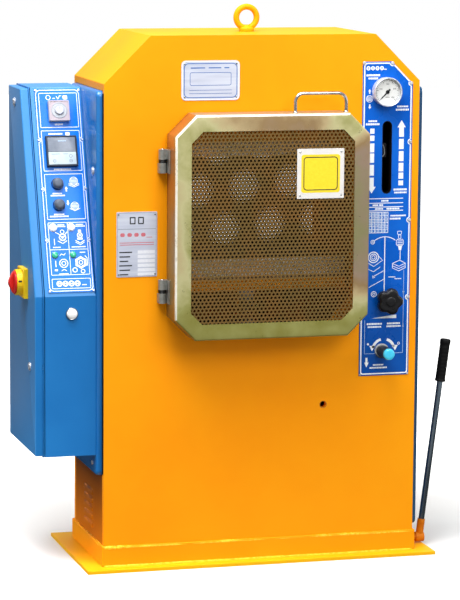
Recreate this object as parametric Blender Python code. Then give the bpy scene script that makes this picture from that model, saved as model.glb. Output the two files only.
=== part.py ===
# Vulcanizing press: a window frame of two load plates, heated platens behind a guard door,
# a hand pump with its lever, and a control cabinet on the left side.
# Metres, +X to the right, +Y to the rear, +Z up. The origin is the centre of the base plate's underside.

import math

import bmesh
import bpy
from mathutils import Vector

# Clearances, and how finely round shapes are drawn
touch = 0.0003
running = 0.0005
overrun = 0.004
round_sides = 36
small_sides = 20
rod_sides = 12
arc_steps = 3

# Body and base
body_width = 0.750
body_depth = 0.305
body_top = 1.226
shoulder_cut = 0.108
plate_thickness = 0.015
base_side_margin = 0.045
base_front_margin = 0.040
base_rear_margin = 0.061
base_thickness = 0.008
plinth_height = 0.047
plinth_wall = 0.0047
panel_sheet = 0.003
band_drop = 0.016

# Window in both load plates
window_width = 0.430
window_bottom = 0.552
window_top = 0.984
window_cut = 0.062

# Throat lining and crossheads
lining_gap = 0.017
lining_wall = 0.008
bed_thickness = 0.040
crosshead_height = 0.065

# Platens and ram
platen_width = 0.410
platen_side_gap = 0.0065
platen_thickness = 0.042
insulation_thickness = 0.006
bolster_thickness = 0.028
bolster_side_gap = 0.0025
lower_platen_top = 0.712
daylight = 0.236
travel_down = 0.080
travel_up = 0.060
pointer_height_share = 0.588
pointer_blade_share = 1.4
pointer_reach_share = 0.235
pointer_arm_share = 0.6
ram_diameter = 0.100
ram_guided_length = 0.060
cylinder_diameter = 0.150
cylinder_flange_diameter = 0.200
cylinder_flange_thickness = 0.020
cylinder_floor = 0.030
cylinder_head_room = 0.010
cylinder_foot_room = 0.005

# Side covers and louvres
cover_bulge = 0.0135
cover_sheet = 0.0015
cover_corner = 0.014
cover_bend = 0.007
cover_flange = 0.033
left_cover_bottom = 0.217
right_cover_bottom = 0.064
louvre_count = 5
louvre_length = 0.088
louvre_height = 0.006
louvre_pitch = 0.0196
louvre_top = 0.161

# Lifting eye
eye_ring_outer = 0.063
eye_ring_inner = 0.035
eye_height = 0.0635
eye_collar_diameter = 0.035
eye_collar_height = 0.010
eye_shank_diameter = 0.016
eye_shank_length = 0.018
eye_pad_width = 0.060
eye_pad_thickness = 0.016

# Rear guard
guard_margin = 0.025
guard_sheet = 0.0015

# Control plate on the right of the front
label_sheet = 0.0015
control_width = 0.122
control_height = 0.734
control_edge_margin = 0.017
control_bottom = 0.4285
control_cut = 0.0515
slot_width = 0.0235
slot_length = 0.169
slot_height = 0.4275
inspection_hole_diameter = 0.0147
inspection_hole_inset = 0.225
inspection_hole_z = 0.365

# Pressure gauge
gauge_diameter = 0.068
gauge_depth = 0.025
gauge_bezel = 0.0035
gauge_dial_depth = 0.008
gauge_stem_diameter = 0.012
gauge_offset = -0.0064
gauge_slot_gap = 0.0684
gauge_lens_thickness = 0.0015
gauge_lens_set = 0.001
needle_thickness = 0.001
needle_length = 0.024
needle_tail = 0.008
needle_width = 0.0022
needle_hub_diameter = 0.007
needle_start_degrees = 225

# Knobs on the control plate, and the valve block behind it
knob_shaft_diameter = 0.010
knob_shaft_length = 0.045
pressure_knob_offset = 0.0047
pressure_knob_height = 0.1775
pressure_knob_diameter = 0.063
pressure_knob_depth = 0.026
pressure_knob_stand = 0.008
pressure_knob_lobes = 5
pressure_knob_lobe_depth = 0.006
valve_knob_offset = -0.006
valve_knob_height = 0.0585
valve_knob_diameter = 0.028
valve_knob_length = 0.046
valve_cap_diameter = 0.0265
valve_cap_length = 0.010
valve_nut_diameter = 0.036
valve_nut_length = 0.004
valve_block_margin = 0.022
valve_block_depth = 0.048

# Name plate, data plate and sign plate
small_label_sheet = 0.001
name_plate_inset = 0.179
name_plate_width = 0.1375
name_plate_drop = 0.1475
name_plate_height = 0.0905
name_plate_corner = 0.010
data_plate_inset = 0.029
data_plate_width = 0.095
data_plate_bottom = 0.679
data_plate_height = 0.149
data_plate_corner = 0.002
sign_side_gap = 0.0253
sign_top_gap = 0.0425
sign_width = 0.112
sign_height = 0.114
sign_corner = 0.002

# Guard door
door_width = 0.459
door_bottom = 0.539
door_height = 0.5125
door_cut = 0.0485
door_back_gap = 0.006
door_depth = 0.078
door_sheet = 0.002
door_bend = 0.004
door_border = 0.037
mesh_sheet = 0.0015
mesh_overlap = 0.012
handle_edge_gap = 0.0475
handle_span = 0.121
handle_height = 0.043
handle_corner = 0.020
handle_rod_diameter = 0.008

# Door hinges
hinge_height = 0.054
hinge_low_rise = 0.079
hinge_high_drop = 0.1355
hinge_axis_offset = 0.012
hinge_axis_stand = 0.011
hinge_knuckle_radius = 0.009
hinge_neck_radius = 0.006
hinge_pin_radius = 0.004
hinge_neck_height = 0.008
hinge_leaf_thickness = 0.002
hinge_leaf_depth = 0.030

# Cabinet
cabinet_set = 0.021
cabinet_depth = 0.297
cabinet_width = 0.1412
cabinet_bottom = 0.266
cabinet_knee = 0.636
cabinet_top = 1.099
cabinet_slope_run = 0.163
cabinet_sheet = 0.0015
cabinet_lip = 0.015
cabinet_door_fold = 0.023
cabinet_door_inset = 0.0025
cabinet_door_bend = 0.002
barrel_radius = 0.0045
barrel_height = 0.030
barrel_margin = 0.110
barrel_tab = 0.013

# What sits on the cabinet's slope: places along the slope are measured from the knee
strip_width = 0.107
strip_length = 0.478
strip_start = 0.009
strip_right_gap = 0.0023
timer_place = 0.4326
timer_size = 0.048
timer_rear_size = 0.044
timer_proud = 0.010
timer_rear_depth = 0.055
timer_knob_diameter = 0.020
timer_knob_height = 0.009
controller_place = 0.3376
controller_size = 0.072
controller_rear_size = 0.067
controller_proud = 0.008
reset_offset = -0.0145
reset_upper_place = 0.262
reset_lower_place = 0.2124
reset_diameter = 0.0252
reset_stem_diameter = 0.020
reset_stem_length = 0.030
reset_height = 0.010
reset_travel = 0.004
lamp_spacing = 0.042
lamp_offset = -0.0115
white_lamp_place = 0.160
green_lamp_place = 0.096
lamp_diameter = 0.013
lamp_stem_diameter = 0.009
lamp_height = 0.006
lamp_rear_length = 0.012
lamp_strip_thickness = 0.003
power_lamp_diameter = 0.0285
power_lamp_stem_diameter = 0.021
power_lamp_height = 0.012
power_lamp_rear_length = 0.030
power_lamp_drop = 0.040

# Main switch and locks
switch_size = 0.068
switch_base_depth = 0.010
switch_inset = 0.1085
switch_rise = 0.0205
switch_barrel_diameter = 0.060
switch_barrel_depth = 0.0135
switch_knob_diameter = 0.056
switch_knob_depth = 0.005
switch_grip_depth = 0.0115
switch_grip_width = 0.015
switch_grip_length = 0.050
switch_stub_diameter = 0.010
switch_stub_length = 0.006
lock_head_diameter = 0.020
lock_head_depth = 0.004
lock_shaft_diameter = 0.008
lock_cam_width = 0.012
lock_cam_thickness = 0.0025
lock_cam_gap = 0.001
lock_cam_edge_gap = 0.006
upper_lock_inset = 0.0746
upper_lock_drop = 0.0366
lower_lock_inset = 0.0545
lower_lock_rise = 0.2027
cover_lock_inset = 0.0344
cover_lock_drop = 0.1846
cover_lock_cam_length = 0.022

# Mounting plate with its contactor row inside the cabinet
mount_plate_margin = 0.020
mount_plate_sheet = 0.002
contactor_count = 3
contactor_width = 0.045
contactor_height = 0.070
contactor_depth = 0.055
contactor_pitch = 0.060

# Hand pump and lever
lever_stand = 0.037
lever_inset = 0.055
lever_lean_degrees = 7.0
lever_hub_radius = 0.012
lever_hub_width = 0.020
lever_hub_floor_gap = 0.003
lever_shaft_radius = 0.008
socket_radius = 0.009
socket_length = 0.0436
socket_floor = 0.018
rod_radius = 0.007
grip_start = 0.378
grip_length = 0.102
grip_radius = 0.0115
grip_cap = 0.005
crank_radius = 0.030
crank_width = 0.014
crank_half_height = 0.005
crank_boss_radius = 0.008
crank_inset = 0.076
lever_forward_degrees = 60
plunger_radius = 0.006
plunger_length = 0.070
pump_block_gap = 0.005
pump_block_wall = 0.014
tank_width = 0.100
tank_depth = 0.130
tank_height = 0.160
pipe_radius = 0.005
pipe_bend = 0.030

# Places that follow from the sizes above
half_body = body_width / 2
base_depth = base_front_margin + body_depth + base_rear_margin
base_width = body_width + 2 * base_side_margin
front_y = base_front_margin - base_depth / 2
rear_y = front_y + body_depth
front_inner_y = front_y + plate_thickness
rear_inner_y = rear_y - plate_thickness
middle_y = (front_y + rear_y) / 2
floor_z = base_thickness + touch
plinth_top = floor_z + plinth_height
band_bottom = body_top - shoulder_cut - band_drop

platen_half = platen_width / 2
lining_half = platen_half + lining_gap
lower_platen_bottom = lower_platen_top - platen_thickness
lower_insulation_top = lower_platen_bottom - touch
bolster_top = lower_insulation_top - insulation_thickness - touch
bolster_bottom = bolster_top - bolster_thickness
upper_platen_bottom = lower_platen_top + daylight
upper_insulation_bottom = upper_platen_bottom + platen_thickness + touch
crosshead_bottom = upper_insulation_bottom + insulation_thickness + touch
crosshead_top = crosshead_bottom + crosshead_height
cylinder_top = bolster_bottom - travel_down - cylinder_head_room
bed_top = cylinder_top - cylinder_flange_thickness - touch
bed_bottom = bed_top - bed_thickness
ram_top = bolster_bottom - touch
ram_bottom = cylinder_top - travel_up - ram_guided_length
bore_bottom = ram_bottom - travel_down - cylinder_foot_room
cylinder_bottom = bore_bottom - cylinder_floor

cover_top = band_bottom - touch
cover_face_x = half_body + cover_bulge
cover_rim_x = cover_face_x - cover_flange

plate_face_y = front_y - touch - label_sheet
control_right = half_body - control_edge_margin
control_left = control_right - control_width
control_top = control_bottom + control_height
slot_x = control_left + control_width / 2
slot_bottom = control_bottom + slot_height
gauge_x = slot_x + gauge_offset
gauge_z = slot_bottom + slot_length + gauge_slot_gap
pressure_knob_x = slot_x + pressure_knob_offset
pressure_knob_z = control_bottom + pressure_knob_height
valve_knob_x = slot_x + valve_knob_offset
valve_knob_z = control_bottom + valve_knob_height
inspection_hole_x = half_body - inspection_hole_inset
name_plate_left = name_plate_inset - half_body
name_plate_bottom = body_top - name_plate_drop
data_plate_left = data_plate_inset - half_body

door_back_y = front_y - door_back_gap
door_front_y = door_back_y - door_depth
door_left = -door_width / 2
door_top = door_bottom + door_height
sign_left = -door_left - door_border - sign_side_gap - sign_width
sign_bottom = door_top - door_border - sign_top_gap - sign_height
handle_left = -door_left - handle_edge_gap - handle_span
hinge_low_z = door_bottom + hinge_low_rise
hinge_high_z = door_top - hinge_high_drop
hinge_x = door_left - hinge_axis_offset
hinge_y = front_y - hinge_axis_stand

cabinet_right_x = -(cover_face_x + touch)
cabinet_left_x = cabinet_right_x - cabinet_width
cabinet_seam_x = cabinet_left_x + cabinet_door_fold
cabinet_front_y = front_y + cabinet_set
cabinet_rear_y = cabinet_front_y + cabinet_depth
cabinet_shoulder_y = cabinet_front_y + cabinet_slope_run
slope_angle = math.atan2(cabinet_slope_run, cabinet_top - cabinet_knee)
barrel_y = cabinet_rear_y + barrel_radius + running
strip_right_x = cabinet_right_x - strip_right_gap
strip_x = strip_right_x - strip_width / 2
power_lamp_z = cabinet_knee - power_lamp_drop
switch_y = cabinet_front_y + switch_inset
switch_z = cabinet_knee + switch_rise
upper_lock_y = cabinet_rear_y - upper_lock_inset
upper_lock_z = cabinet_top - upper_lock_drop
lower_lock_y = cabinet_front_y + lower_lock_inset
lower_lock_z = cabinet_bottom + lower_lock_rise
cover_lock_y = front_inner_y + cover_lock_inset
cover_lock_z = band_bottom - cover_lock_drop

lever_x = half_body + lever_stand
lever_y = front_y + lever_inset
lever_z = base_thickness + lever_hub_floor_gap + lever_hub_radius
crank_x = half_body - crank_inset
lever_lean = math.radians(lever_lean_degrees)
plunger_y = lever_y + crank_radius
plunger_bottom = lever_z + crank_boss_radius + touch
plunger_rise = crank_radius * math.radians(lever_forward_degrees)
pump_block_bottom = (lever_z + crank_radius * math.sin(math.radians(lever_forward_degrees))
                     + crank_boss_radius + pump_block_gap)
pump_bore_top = plunger_bottom + plunger_length + plunger_rise + pump_block_gap

# Paints and metals: linear colour, roughness, metallic
looks = {
    "orange enamel": ((0.95, 0.33, 0.01, 1), 0.35, 0.0),
    "blue enamel": ((0.03, 0.17, 0.46, 1), 0.4, 0.0),
    "printed blue": ((0.01, 0.09, 0.60, 1), 0.3, 0.0),
    "zinc chromate": ((0.42, 0.38, 0.16, 1), 0.35, 0.9),
    "grey zinc": ((0.45, 0.46, 0.47, 1), 0.4, 0.8),
    "bright steel": ((0.62, 0.63, 0.64, 1), 0.25, 1.0),
    "ground steel": ((0.36, 0.36, 0.35, 1), 0.45, 0.9),
    "insulation board": ((0.32, 0.27, 0.20, 1), 0.9, 0.0),
    "black plastic": ((0.012, 0.012, 0.013, 1), 0.35, 0.0),
    "grey plastic": ((0.55, 0.56, 0.55, 1), 0.45, 0.0),
    "dark plastic": ((0.03, 0.035, 0.04, 1), 0.4, 0.0),
    "cyan plastic": ((0.08, 0.62, 0.85, 1), 0.3, 0.0),
    "white lens": ((0.85, 0.86, 0.84, 1), 0.2, 0.0),
    "green lens": ((0.05, 0.45, 0.12, 1), 0.2, 0.0),
    "yellow plastic": ((0.90, 0.66, 0.01, 1), 0.4, 0.0),
    "red plastic": ((0.62, 0.02, 0.01, 1), 0.35, 0.0),
    "silver foil": ((0.62, 0.66, 0.72, 1), 0.35, 0.3),
    "white sheet": ((0.85, 0.85, 0.84, 1), 0.4, 0.0),
    "clear glass": ((0.9, 0.93, 0.93, 1), 0.05, 0.0),
}


# A point from two coordinates in a face's plane and one across it
def on_plan(a, b, c):
    return Vector((a, b, c))


# The front face: a runs along X, b along Z, c along Y
def on_front(a, b, c):
    return Vector((a, c, b))


# The sides: a runs along Y, b along Z, c along X
def on_side(a, b, c):
    return Vector((c, a, b))


# The cabinet's slope: a runs along X, b up the slope from the knee, c out of it
def on_slope(a, b, c):
    y = cabinet_front_y + b * math.sin(slope_angle) - c * math.cos(slope_angle)
    z = cabinet_knee + b * math.cos(slope_angle) + c * math.sin(slope_angle)
    return Vector((a, y, z))


# The lever's leaning line: a across it to the outside, b across it to the rear, c along it
def on_lever(a, b, c):
    x = lever_x + c * math.sin(lever_lean) + a * math.cos(lever_lean)
    z = lever_z + c * math.cos(lever_lean) - a * math.sin(lever_lean)
    return Vector((x, lever_y + b, z))


def rectangle(a_low, a_high, b_low, b_high):
    return [(a_low, b_low), (a_high, b_low), (a_high, b_high), (a_low, b_high)]


# A rectangle with its four corners cut off at 45 degrees
def cut_rectangle(a_low, a_high, b_low, b_high, cut):
    return [
        (a_low + cut, b_low), (a_high - cut, b_low), (a_high, b_low + cut), (a_high, b_high - cut),
        (a_high - cut, b_high), (a_low + cut, b_high), (a_low, b_high - cut), (a_low, b_low + cut),
    ]


def arc(centre_a, centre_b, radius, start, turn, steps):
    angles = [start + turn * step / steps for step in range(steps + 1)]
    return [(centre_a + radius * math.cos(angle), centre_b + radius * math.sin(angle)) for angle in angles]


def round_rectangle(a_low, a_high, b_low, b_high, radius):
    quarter = math.pi / 2
    corners = [(a_low + radius, b_low + radius), (a_high - radius, b_low + radius),
               (a_high - radius, b_high - radius), (a_low + radius, b_high - radius)]
    outline = []
    for index, (centre_a, centre_b) in enumerate(corners):
        outline += arc(centre_a, centre_b, radius, math.pi + index * quarter, quarter, arc_steps)
    return outline


def circle(centre_a, centre_b, radius, sides):
    return arc(centre_a, centre_b, radius, 0, math.tau * (sides - 1) / sides, sides - 1)


# The two unit normals at a corner, to the left of the way the outline runs
def corner_normals(before, corner, after):
    normals = []
    for start, end in ((before, corner), (corner, after)):
        length = math.dist(start, end)
        normals.append(((start[1] - end[1]) / length, (end[0] - start[0]) / length))
    return normals


def shifted_corner(before, corner, after, distance):
    first, second = corner_normals(before, corner, after)
    share = distance / (1 + first[0] * second[0] + first[1] * second[1])
    return corner[0] + share * (first[0] + second[0]), corner[1] + share * (first[1] + second[1])


# A closed outline, drawn anticlockwise, moved inwards by a distance
def inset(outline, distance):
    count = len(outline)
    return [shifted_corner(outline[i - 1], outline[i], outline[(i + 1) % count],
                           distance) for i in range(count)]


# A bent strip: an open line and the same line moved to its left by the sheet's thickness
def strip_outline(line, thickness):
    ends_before = (2 * line[0][0] - line[1][0], 2 * line[0][1] - line[1][1])
    ends_after = (2 * line[-1][0] - line[-2][0], 2 * line[-1][1] - line[-2][1])
    padded = [ends_before] + line + [ends_after]
    moved = [shifted_corner(padded[i], padded[i + 1], padded[i + 2], thickness) for i in range(len(line))]
    return line + moved[::-1]


def loop(place, outline, c):
    return [place(a, b, c) for a, b in outline]


# Loops of equal length joined by quads: capped at both ends, or closed on themselves as a ring
def solid(loops, ring=False):
    shell = bmesh.new()
    rows = [[shell.verts.new(point) for point in points] for points in loops]
    pairs = list(zip(rows, rows[1:]))
    if ring:
        pairs.append((rows[-1], rows[0]))
    else:
        shell.faces.new(rows[0])
        shell.faces.new(rows[-1])
    for low, high in pairs:
        for i in range(len(low)):
            shell.faces.new((low[i - 1], low[i], high[i], high[i - 1]))
    bmesh.ops.recalc_face_normals(shell, faces=shell.faces)
    mesh = bpy.data.meshes.new("solid")
    shell.to_mesh(mesh)
    shell.free()
    return mesh


def prism(place, outline, low, high):
    return solid([loop(place, outline, low), loop(place, outline, high)])


def block(place, a_low, a_high, b_low, b_high, c_low, c_high):
    return prism(place, rectangle(a_low, a_high, b_low, b_high), c_low, c_high)


# A turned piece: each profile point is a radius and a place along the axis
def turned(place, centre_a, centre_b, profile, sides=round_sides):
    return solid([loop(place, circle(centre_a, centre_b, radius, sides), c) for radius, c in profile])


def cylinder(place, centre_a, centre_b, radius, low, high, sides=round_sides):
    return turned(place, centre_a, centre_b, [(radius, low), (radius, high)], sides)


# Inset and depth along a rounded fold, from the face to the wall
def fold_steps(radius):
    turns = [math.pi / 2 * step / arc_steps for step in range(arc_steps + 1)]
    return [(radius * (1 - math.sin(turn)), radius * (1 - math.cos(turn))) for turn in turns]


# A folded tray: a face, rounded folds and walls that run to the rim
def tray(place, outline, face_c, rim_c, sheet, bend):
    inward = math.copysign(1, rim_c - face_c)
    loops = [loop(place, inset(outline, step), face_c + inward * depth) for step, depth in fold_steps(bend)]
    loops.append(loop(place, outline, rim_c))
    loops.append(loop(place, inset(outline, sheet), rim_c))
    for step, depth in reversed(fold_steps(bend - sheet)):
        loops.append(loop(place, inset(outline, sheet + step), face_c + inward * (sheet + depth)))
    return solid(loops)


# A folded tray whose face is a border round an opening
def border_tray(place, outline, face_c, rim_c, sheet, bend, border):
    inward = math.copysign(1, rim_c - face_c)
    loops = [loop(place, inset(outline, step), face_c + inward * depth) for step, depth in fold_steps(bend)]
    loops.append(loop(place, outline, rim_c))
    loops.append(loop(place, inset(outline, sheet), rim_c))
    loops.append(loop(place, inset(outline, sheet), face_c + inward * sheet))
    loops.append(loop(place, inset(outline, border), face_c + inward * sheet))
    loops.append(loop(place, inset(outline, border), face_c))
    return solid(loops, ring=True)


# A round rod swept along a line of points, with flat ends
def rod_along(points, radius, sides=rod_sides):
    loops = []
    side = None
    for i, point in enumerate(points):
        ahead = points[min(i + 1, len(points) - 1)] - points[max(i - 1, 0)]
        ahead.normalize()
        if side is None:
            side = ahead.orthogonal().normalized()
        side = (side - ahead * side.dot(ahead)).normalized()
        other = ahead.cross(side)
        ring = circle(0, 0, radius, sides)
        loops.append([point + side * a + other * b for a, b in ring])
    return solid(loops)


# A line through corner points with each inner corner rounded in its own plane
def rounded_line(corners, radius):
    line = [corners[0]]
    for before, corner, after in zip(corners, corners[1:], corners[2:]):
        start = (before - corner).normalized()
        end = (after - corner).normalized()
        half = start.angle(end) / 2
        reach = radius / math.tan(half)
        centre = corner + (start + end).normalized() * radius / math.sin(half)
        first = corner + start * reach - centre
        last = corner + end * reach - centre
        turn = first.angle(last)
        for step in range(2 * arc_steps + 1):
            share = step / (2 * arc_steps)
            line.append(centre + (first * math.sin(turn * (1 - share)) + last * math.sin(turn * share))
                        / math.sin(turn))
    line.append(corners[-1])
    return line


def shade(mesh):
    mesh.shade_smooth()
    mesh.set_sharp_from_angle(angle=math.radians(35))


def material_for(name, look):
    colour, roughness, metallic = looks[look]
    material = bpy.data.materials.new(name + " " + look)
    material.use_nodes = True
    shader = material.node_tree.nodes["Principled BSDF"]
    shader.inputs["Base Color"].default_value = colour
    shader.inputs["Roughness"].default_value = roughness
    shader.inputs["Metallic"].default_value = metallic
    return material


def add_part(name, mesh, look, carrier=None):
    shade(mesh)
    mesh.name = name
    mesh.materials.append(material_for(name, look))
    part = bpy.data.objects.new(name, mesh)
    bpy.context.scene.collection.objects.link(part)
    if carrier:
        part.parent = carrier
        part.matrix_parent_inverse = carrier.matrix_world.inverted()
    return part


# An empty on a joint's axis, which carries the pieces that move about it
def add_axis(name, point, carrier=None):
    axis = bpy.data.objects.new(name, None)
    axis.location = point
    bpy.context.scene.collection.objects.link(axis)
    bpy.context.view_layer.update()
    if carrier:
        axis.parent = carrier
        axis.matrix_parent_inverse = carrier.matrix_world.inverted()
        bpy.context.view_layer.update()
    return axis


def shape_with(part, meshes, operation):
    for mesh in meshes:
        helper = bpy.data.objects.new(part.name + "_" + operation.lower(), mesh)
        helper.hide_render = True
        helper.display_type = "WIRE"
        bpy.context.scene.collection.objects.link(helper)
        step = part.modifiers.new(operation.title(), "BOOLEAN")
        step.operation = operation
        step.solver = "EXACT"
        step.object = helper


def cut(part, *meshes):
    shape_with(part, meshes, "DIFFERENCE")


def fuse(part, *meshes):
    shape_with(part, meshes, "UNION")


# Several separate shapes as one mesh, for one cut
def together(*meshes):
    shell = bmesh.new()
    for mesh in meshes:
        shell.from_mesh(mesh)
    merged = bpy.data.meshes.new("together")
    shell.to_mesh(merged)
    shell.free()
    return merged


def body_outline(bottom):
    return [(-half_body, bottom), (half_body, bottom), (half_body, body_top - shoulder_cut),
            (half_body - shoulder_cut, body_top), (shoulder_cut - half_body, body_top),
            (-half_body, body_top - shoulder_cut)]


def window_outline():
    return cut_rectangle(-window_width / 2, window_width / 2, window_bottom, window_top, window_cut)


def slot_outline():
    radius = slot_width / 2
    upper = arc(slot_x, slot_bottom + slot_length - radius, radius, 0, math.pi, 2 * arc_steps)
    lower = arc(slot_x, slot_bottom + radius, radius, math.pi, math.pi, 2 * arc_steps)
    return upper + lower


# Base plate, plinth, load plates and the sheet that closes shoulders and top
def build_body():
    add_part("base_plate", block(on_plan, -base_width / 2, base_width / 2, -base_depth / 2, base_depth / 2,
                                 0, base_thickness), "orange enamel")
    inner = rectangle(-half_body - touch, half_body + touch, front_y - touch, rear_y + touch)
    outer = inset(inner, -plinth_wall)
    plinth = add_part("plinth", solid([loop(on_plan, outer, floor_z), loop(on_plan, outer, plinth_top),
                                       loop(on_plan, inner, plinth_top), loop(on_plan, inner, floor_z)],
                                      ring=True), "orange enamel")
    shaft_hole_end = half_body + plinth_wall + overrun
    cut(plinth, cylinder(on_side, lever_y, lever_z, lever_shaft_radius + running,
                         half_body - overrun, shaft_hole_end, small_sides))

    front = add_part("front_plate", prism(on_front, body_outline(floor_z), front_y, front_inner_y),
                     "orange enamel")
    cut_front = front_y - overrun
    cut_back = front_inner_y + overrun
    shaft_hole = knob_shaft_diameter / 2 + running
    cut(front, together(
        prism(on_front, window_outline(), cut_front, cut_back),
        prism(on_front, slot_outline(), cut_front, cut_back),
        cylinder(on_front, gauge_x, gauge_z, gauge_stem_diameter / 2 + running, cut_front, cut_back,
                 small_sides),
        cylinder(on_front, pressure_knob_x, pressure_knob_z, shaft_hole, cut_front, cut_back, small_sides),
        cylinder(on_front, valve_knob_x, valve_knob_z, shaft_hole, cut_front, cut_back, small_sides),
        cylinder(on_front, inspection_hole_x, inspection_hole_z, inspection_hole_diameter / 2,
                 cut_front, cut_back, small_sides)))

    rear = add_part("rear_plate", prism(on_front, body_outline(floor_z), rear_inner_y, rear_y),
                    "orange enamel")
    cut(rear, prism(on_front, window_outline(), rear_inner_y - overrun, rear_y + overrun))

    line = [(half_body, band_bottom)] + body_outline(band_bottom)[2:] + [(-half_body, band_bottom)]
    outline = strip_outline(line, panel_sheet)
    cover = add_part("top_cover", prism(on_front, outline, front_inner_y + touch, rear_inner_y - touch),
                     "orange enamel")
    pad_half = eye_pad_width / 2
    pad_top = body_top - panel_sheet / 2
    fuse(cover, block(on_plan, -pad_half, pad_half, middle_y - pad_half, middle_y + pad_half,
                      body_top - panel_sheet - eye_pad_thickness, pad_top))
    cut(cover, cylinder(on_plan, 0, middle_y, eye_shank_diameter / 2 + touch,
                        body_top - panel_sheet - eye_pad_thickness - overrun, body_top + overrun,
                        small_sides))


def build_lower_panels():
    low_y = front_inner_y + touch
    high_y = rear_inner_y - touch
    left = add_part("left_lower_panel", block(on_side, low_y, high_y, floor_z, left_cover_bottom - touch,
                                              -half_body, panel_sheet - half_body), "orange enamel")
    slots = []
    for index in range(louvre_count):
        top = louvre_top - index * louvre_pitch
        slots.append(block(on_side, middle_y - louvre_length / 2, middle_y + louvre_length / 2,
                           top - louvre_height, top, -half_body - overrun,
                           panel_sheet - half_body + overrun))
    cut(left, together(*slots))
    right = add_part("right_lower_panel", block(on_side, low_y, high_y, floor_z, right_cover_bottom - touch,
                                                half_body - panel_sheet, half_body), "orange enamel")
    cut(right, cylinder(on_side, lever_y, lever_z, lever_shaft_radius + running,
                        half_body - panel_sheet - overrun, half_body + overrun, small_sides))


# Sheet trays that close the sides between the load plates
def build_side_covers():
    low_y = front_inner_y + touch
    high_y = rear_inner_y - touch
    for name, side, bottom in (("left_side_cover", -1, left_cover_bottom),
                               ("right_side_cover", 1, right_cover_bottom)):
        outline = round_rectangle(low_y, high_y, bottom, cover_top, cover_corner)
        cover = add_part(name, tray(on_side, outline, side * cover_face_x, side * cover_rim_x,
                                    cover_sheet, cover_bend), "blue enamel")
        if side < 0:
            cut(cover, cylinder(on_side, cover_lock_y, cover_lock_z, lock_shaft_diameter / 2 + running,
                                -cover_face_x - overrun, -cover_face_x + cover_sheet + overrun,
                                small_sides))


# Ring and collar of the eye bolt, with its shank through the top cover
def build_lifting_eye():
    ring_radius = (eye_ring_outer + eye_ring_inner) / 4
    rod_radius_here = (eye_ring_outer - eye_ring_inner) / 4
    collar_top = body_top + touch + eye_collar_height
    ring_z = body_top + touch + eye_height - eye_ring_outer / 2
    loops = []
    for angle in [math.tau * step / round_sides for step in range(round_sides)]:
        section = circle(ring_radius, 0, rod_radius_here, rod_sides)
        loops.append([Vector((a * math.cos(angle), middle_y + b, ring_z + a * math.sin(angle)))
                      for a, b in section])
    eye = add_part("lifting_eye", solid(loops, ring=True), "grey zinc")
    collar_radius = eye_collar_diameter / 2
    shank_radius = eye_shank_diameter / 2
    fuse(eye, turned(on_plan, 0, middle_y,
                     [(shank_radius, body_top - eye_shank_length), (shank_radius, body_top + touch),
                      (collar_radius, body_top + touch), (collar_radius,
                                                          collar_top - eye_collar_height / 2),
                      (rod_radius_here, collar_top + rod_radius_here / 2)], small_sides))


# The lining is a U of one bent plate: its floor is the bed that the cylinder hangs from
def build_throat():
    low_y = front_inner_y + touch
    high_y = rear_inner_y - touch
    outer_half = lining_half + lining_wall
    outline = [(-outer_half, bed_bottom), (outer_half, bed_bottom), (outer_half, crosshead_top),
               (lining_half, crosshead_top), (lining_half, bed_top), (-lining_half, bed_top),
               (-lining_half, crosshead_top), (-outer_half, crosshead_top)]
    lining = add_part("throat_lining", prism(on_front, outline, low_y, high_y), "orange enamel")
    arm = pointer_arm()
    cut(lining, cylinder(on_plan, 0, middle_y, cylinder_diameter / 2 + touch,
                         bed_bottom - overrun, bed_top + overrun),
        block(on_plan, lining_half - overrun, outer_half + overrun, low_y - overrun,
              arm["back"] + overrun, arm["low"] - travel_down - overrun, arm["high"] + travel_up + overrun))

    crosshead_half = lining_half - touch
    add_part("upper_crosshead", block(on_plan, -crosshead_half, crosshead_half, low_y, high_y,
                                      crosshead_bottom, crosshead_top), "orange enamel")
    add_part("upper_insulation", platen_block(upper_insulation_bottom, insulation_thickness),
             "insulation board")
    add_part("upper_platen", platen_block(upper_platen_bottom, platen_thickness), "ground steel")

    body_radius = cylinder_diameter / 2
    bore_radius = ram_diameter / 2 + running
    flange_radius = cylinder_flange_diameter / 2
    flange_bottom = bed_top + touch
    add_part("hydraulic_cylinder", turned(on_plan, 0, middle_y, [
        (body_radius, cylinder_bottom), (body_radius, flange_bottom), (flange_radius, flange_bottom),
        (flange_radius, cylinder_top), (bore_radius, cylinder_top), (bore_radius, bore_bottom)]),
        "ground steel")

    guard_half = window_width / 2 + guard_margin
    outline = rectangle(-guard_half, guard_half, window_bottom - guard_margin, window_top + guard_margin)
    add_part("rear_guard", prism(on_front, outline, rear_y + touch, rear_y + touch + guard_sheet),
             "zinc chromate")


def platen_block(bottom, thickness):
    low_y = front_inner_y + platen_side_gap
    high_y = rear_inner_y - platen_side_gap
    return block(on_plan, -platen_half, platen_half, low_y, high_y, bottom, bottom + thickness)


# The pointer's arm leaves the bolster's side and passes through the notch in the lining
def pointer_arm():
    size = bolster_thickness * pointer_arm_share
    low = bolster_bottom + (bolster_thickness - size) / 2
    front = front_inner_y + bolster_side_gap + touch
    return {"low": low, "high": low + size, "front": front, "back": front + size / 4}


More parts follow.
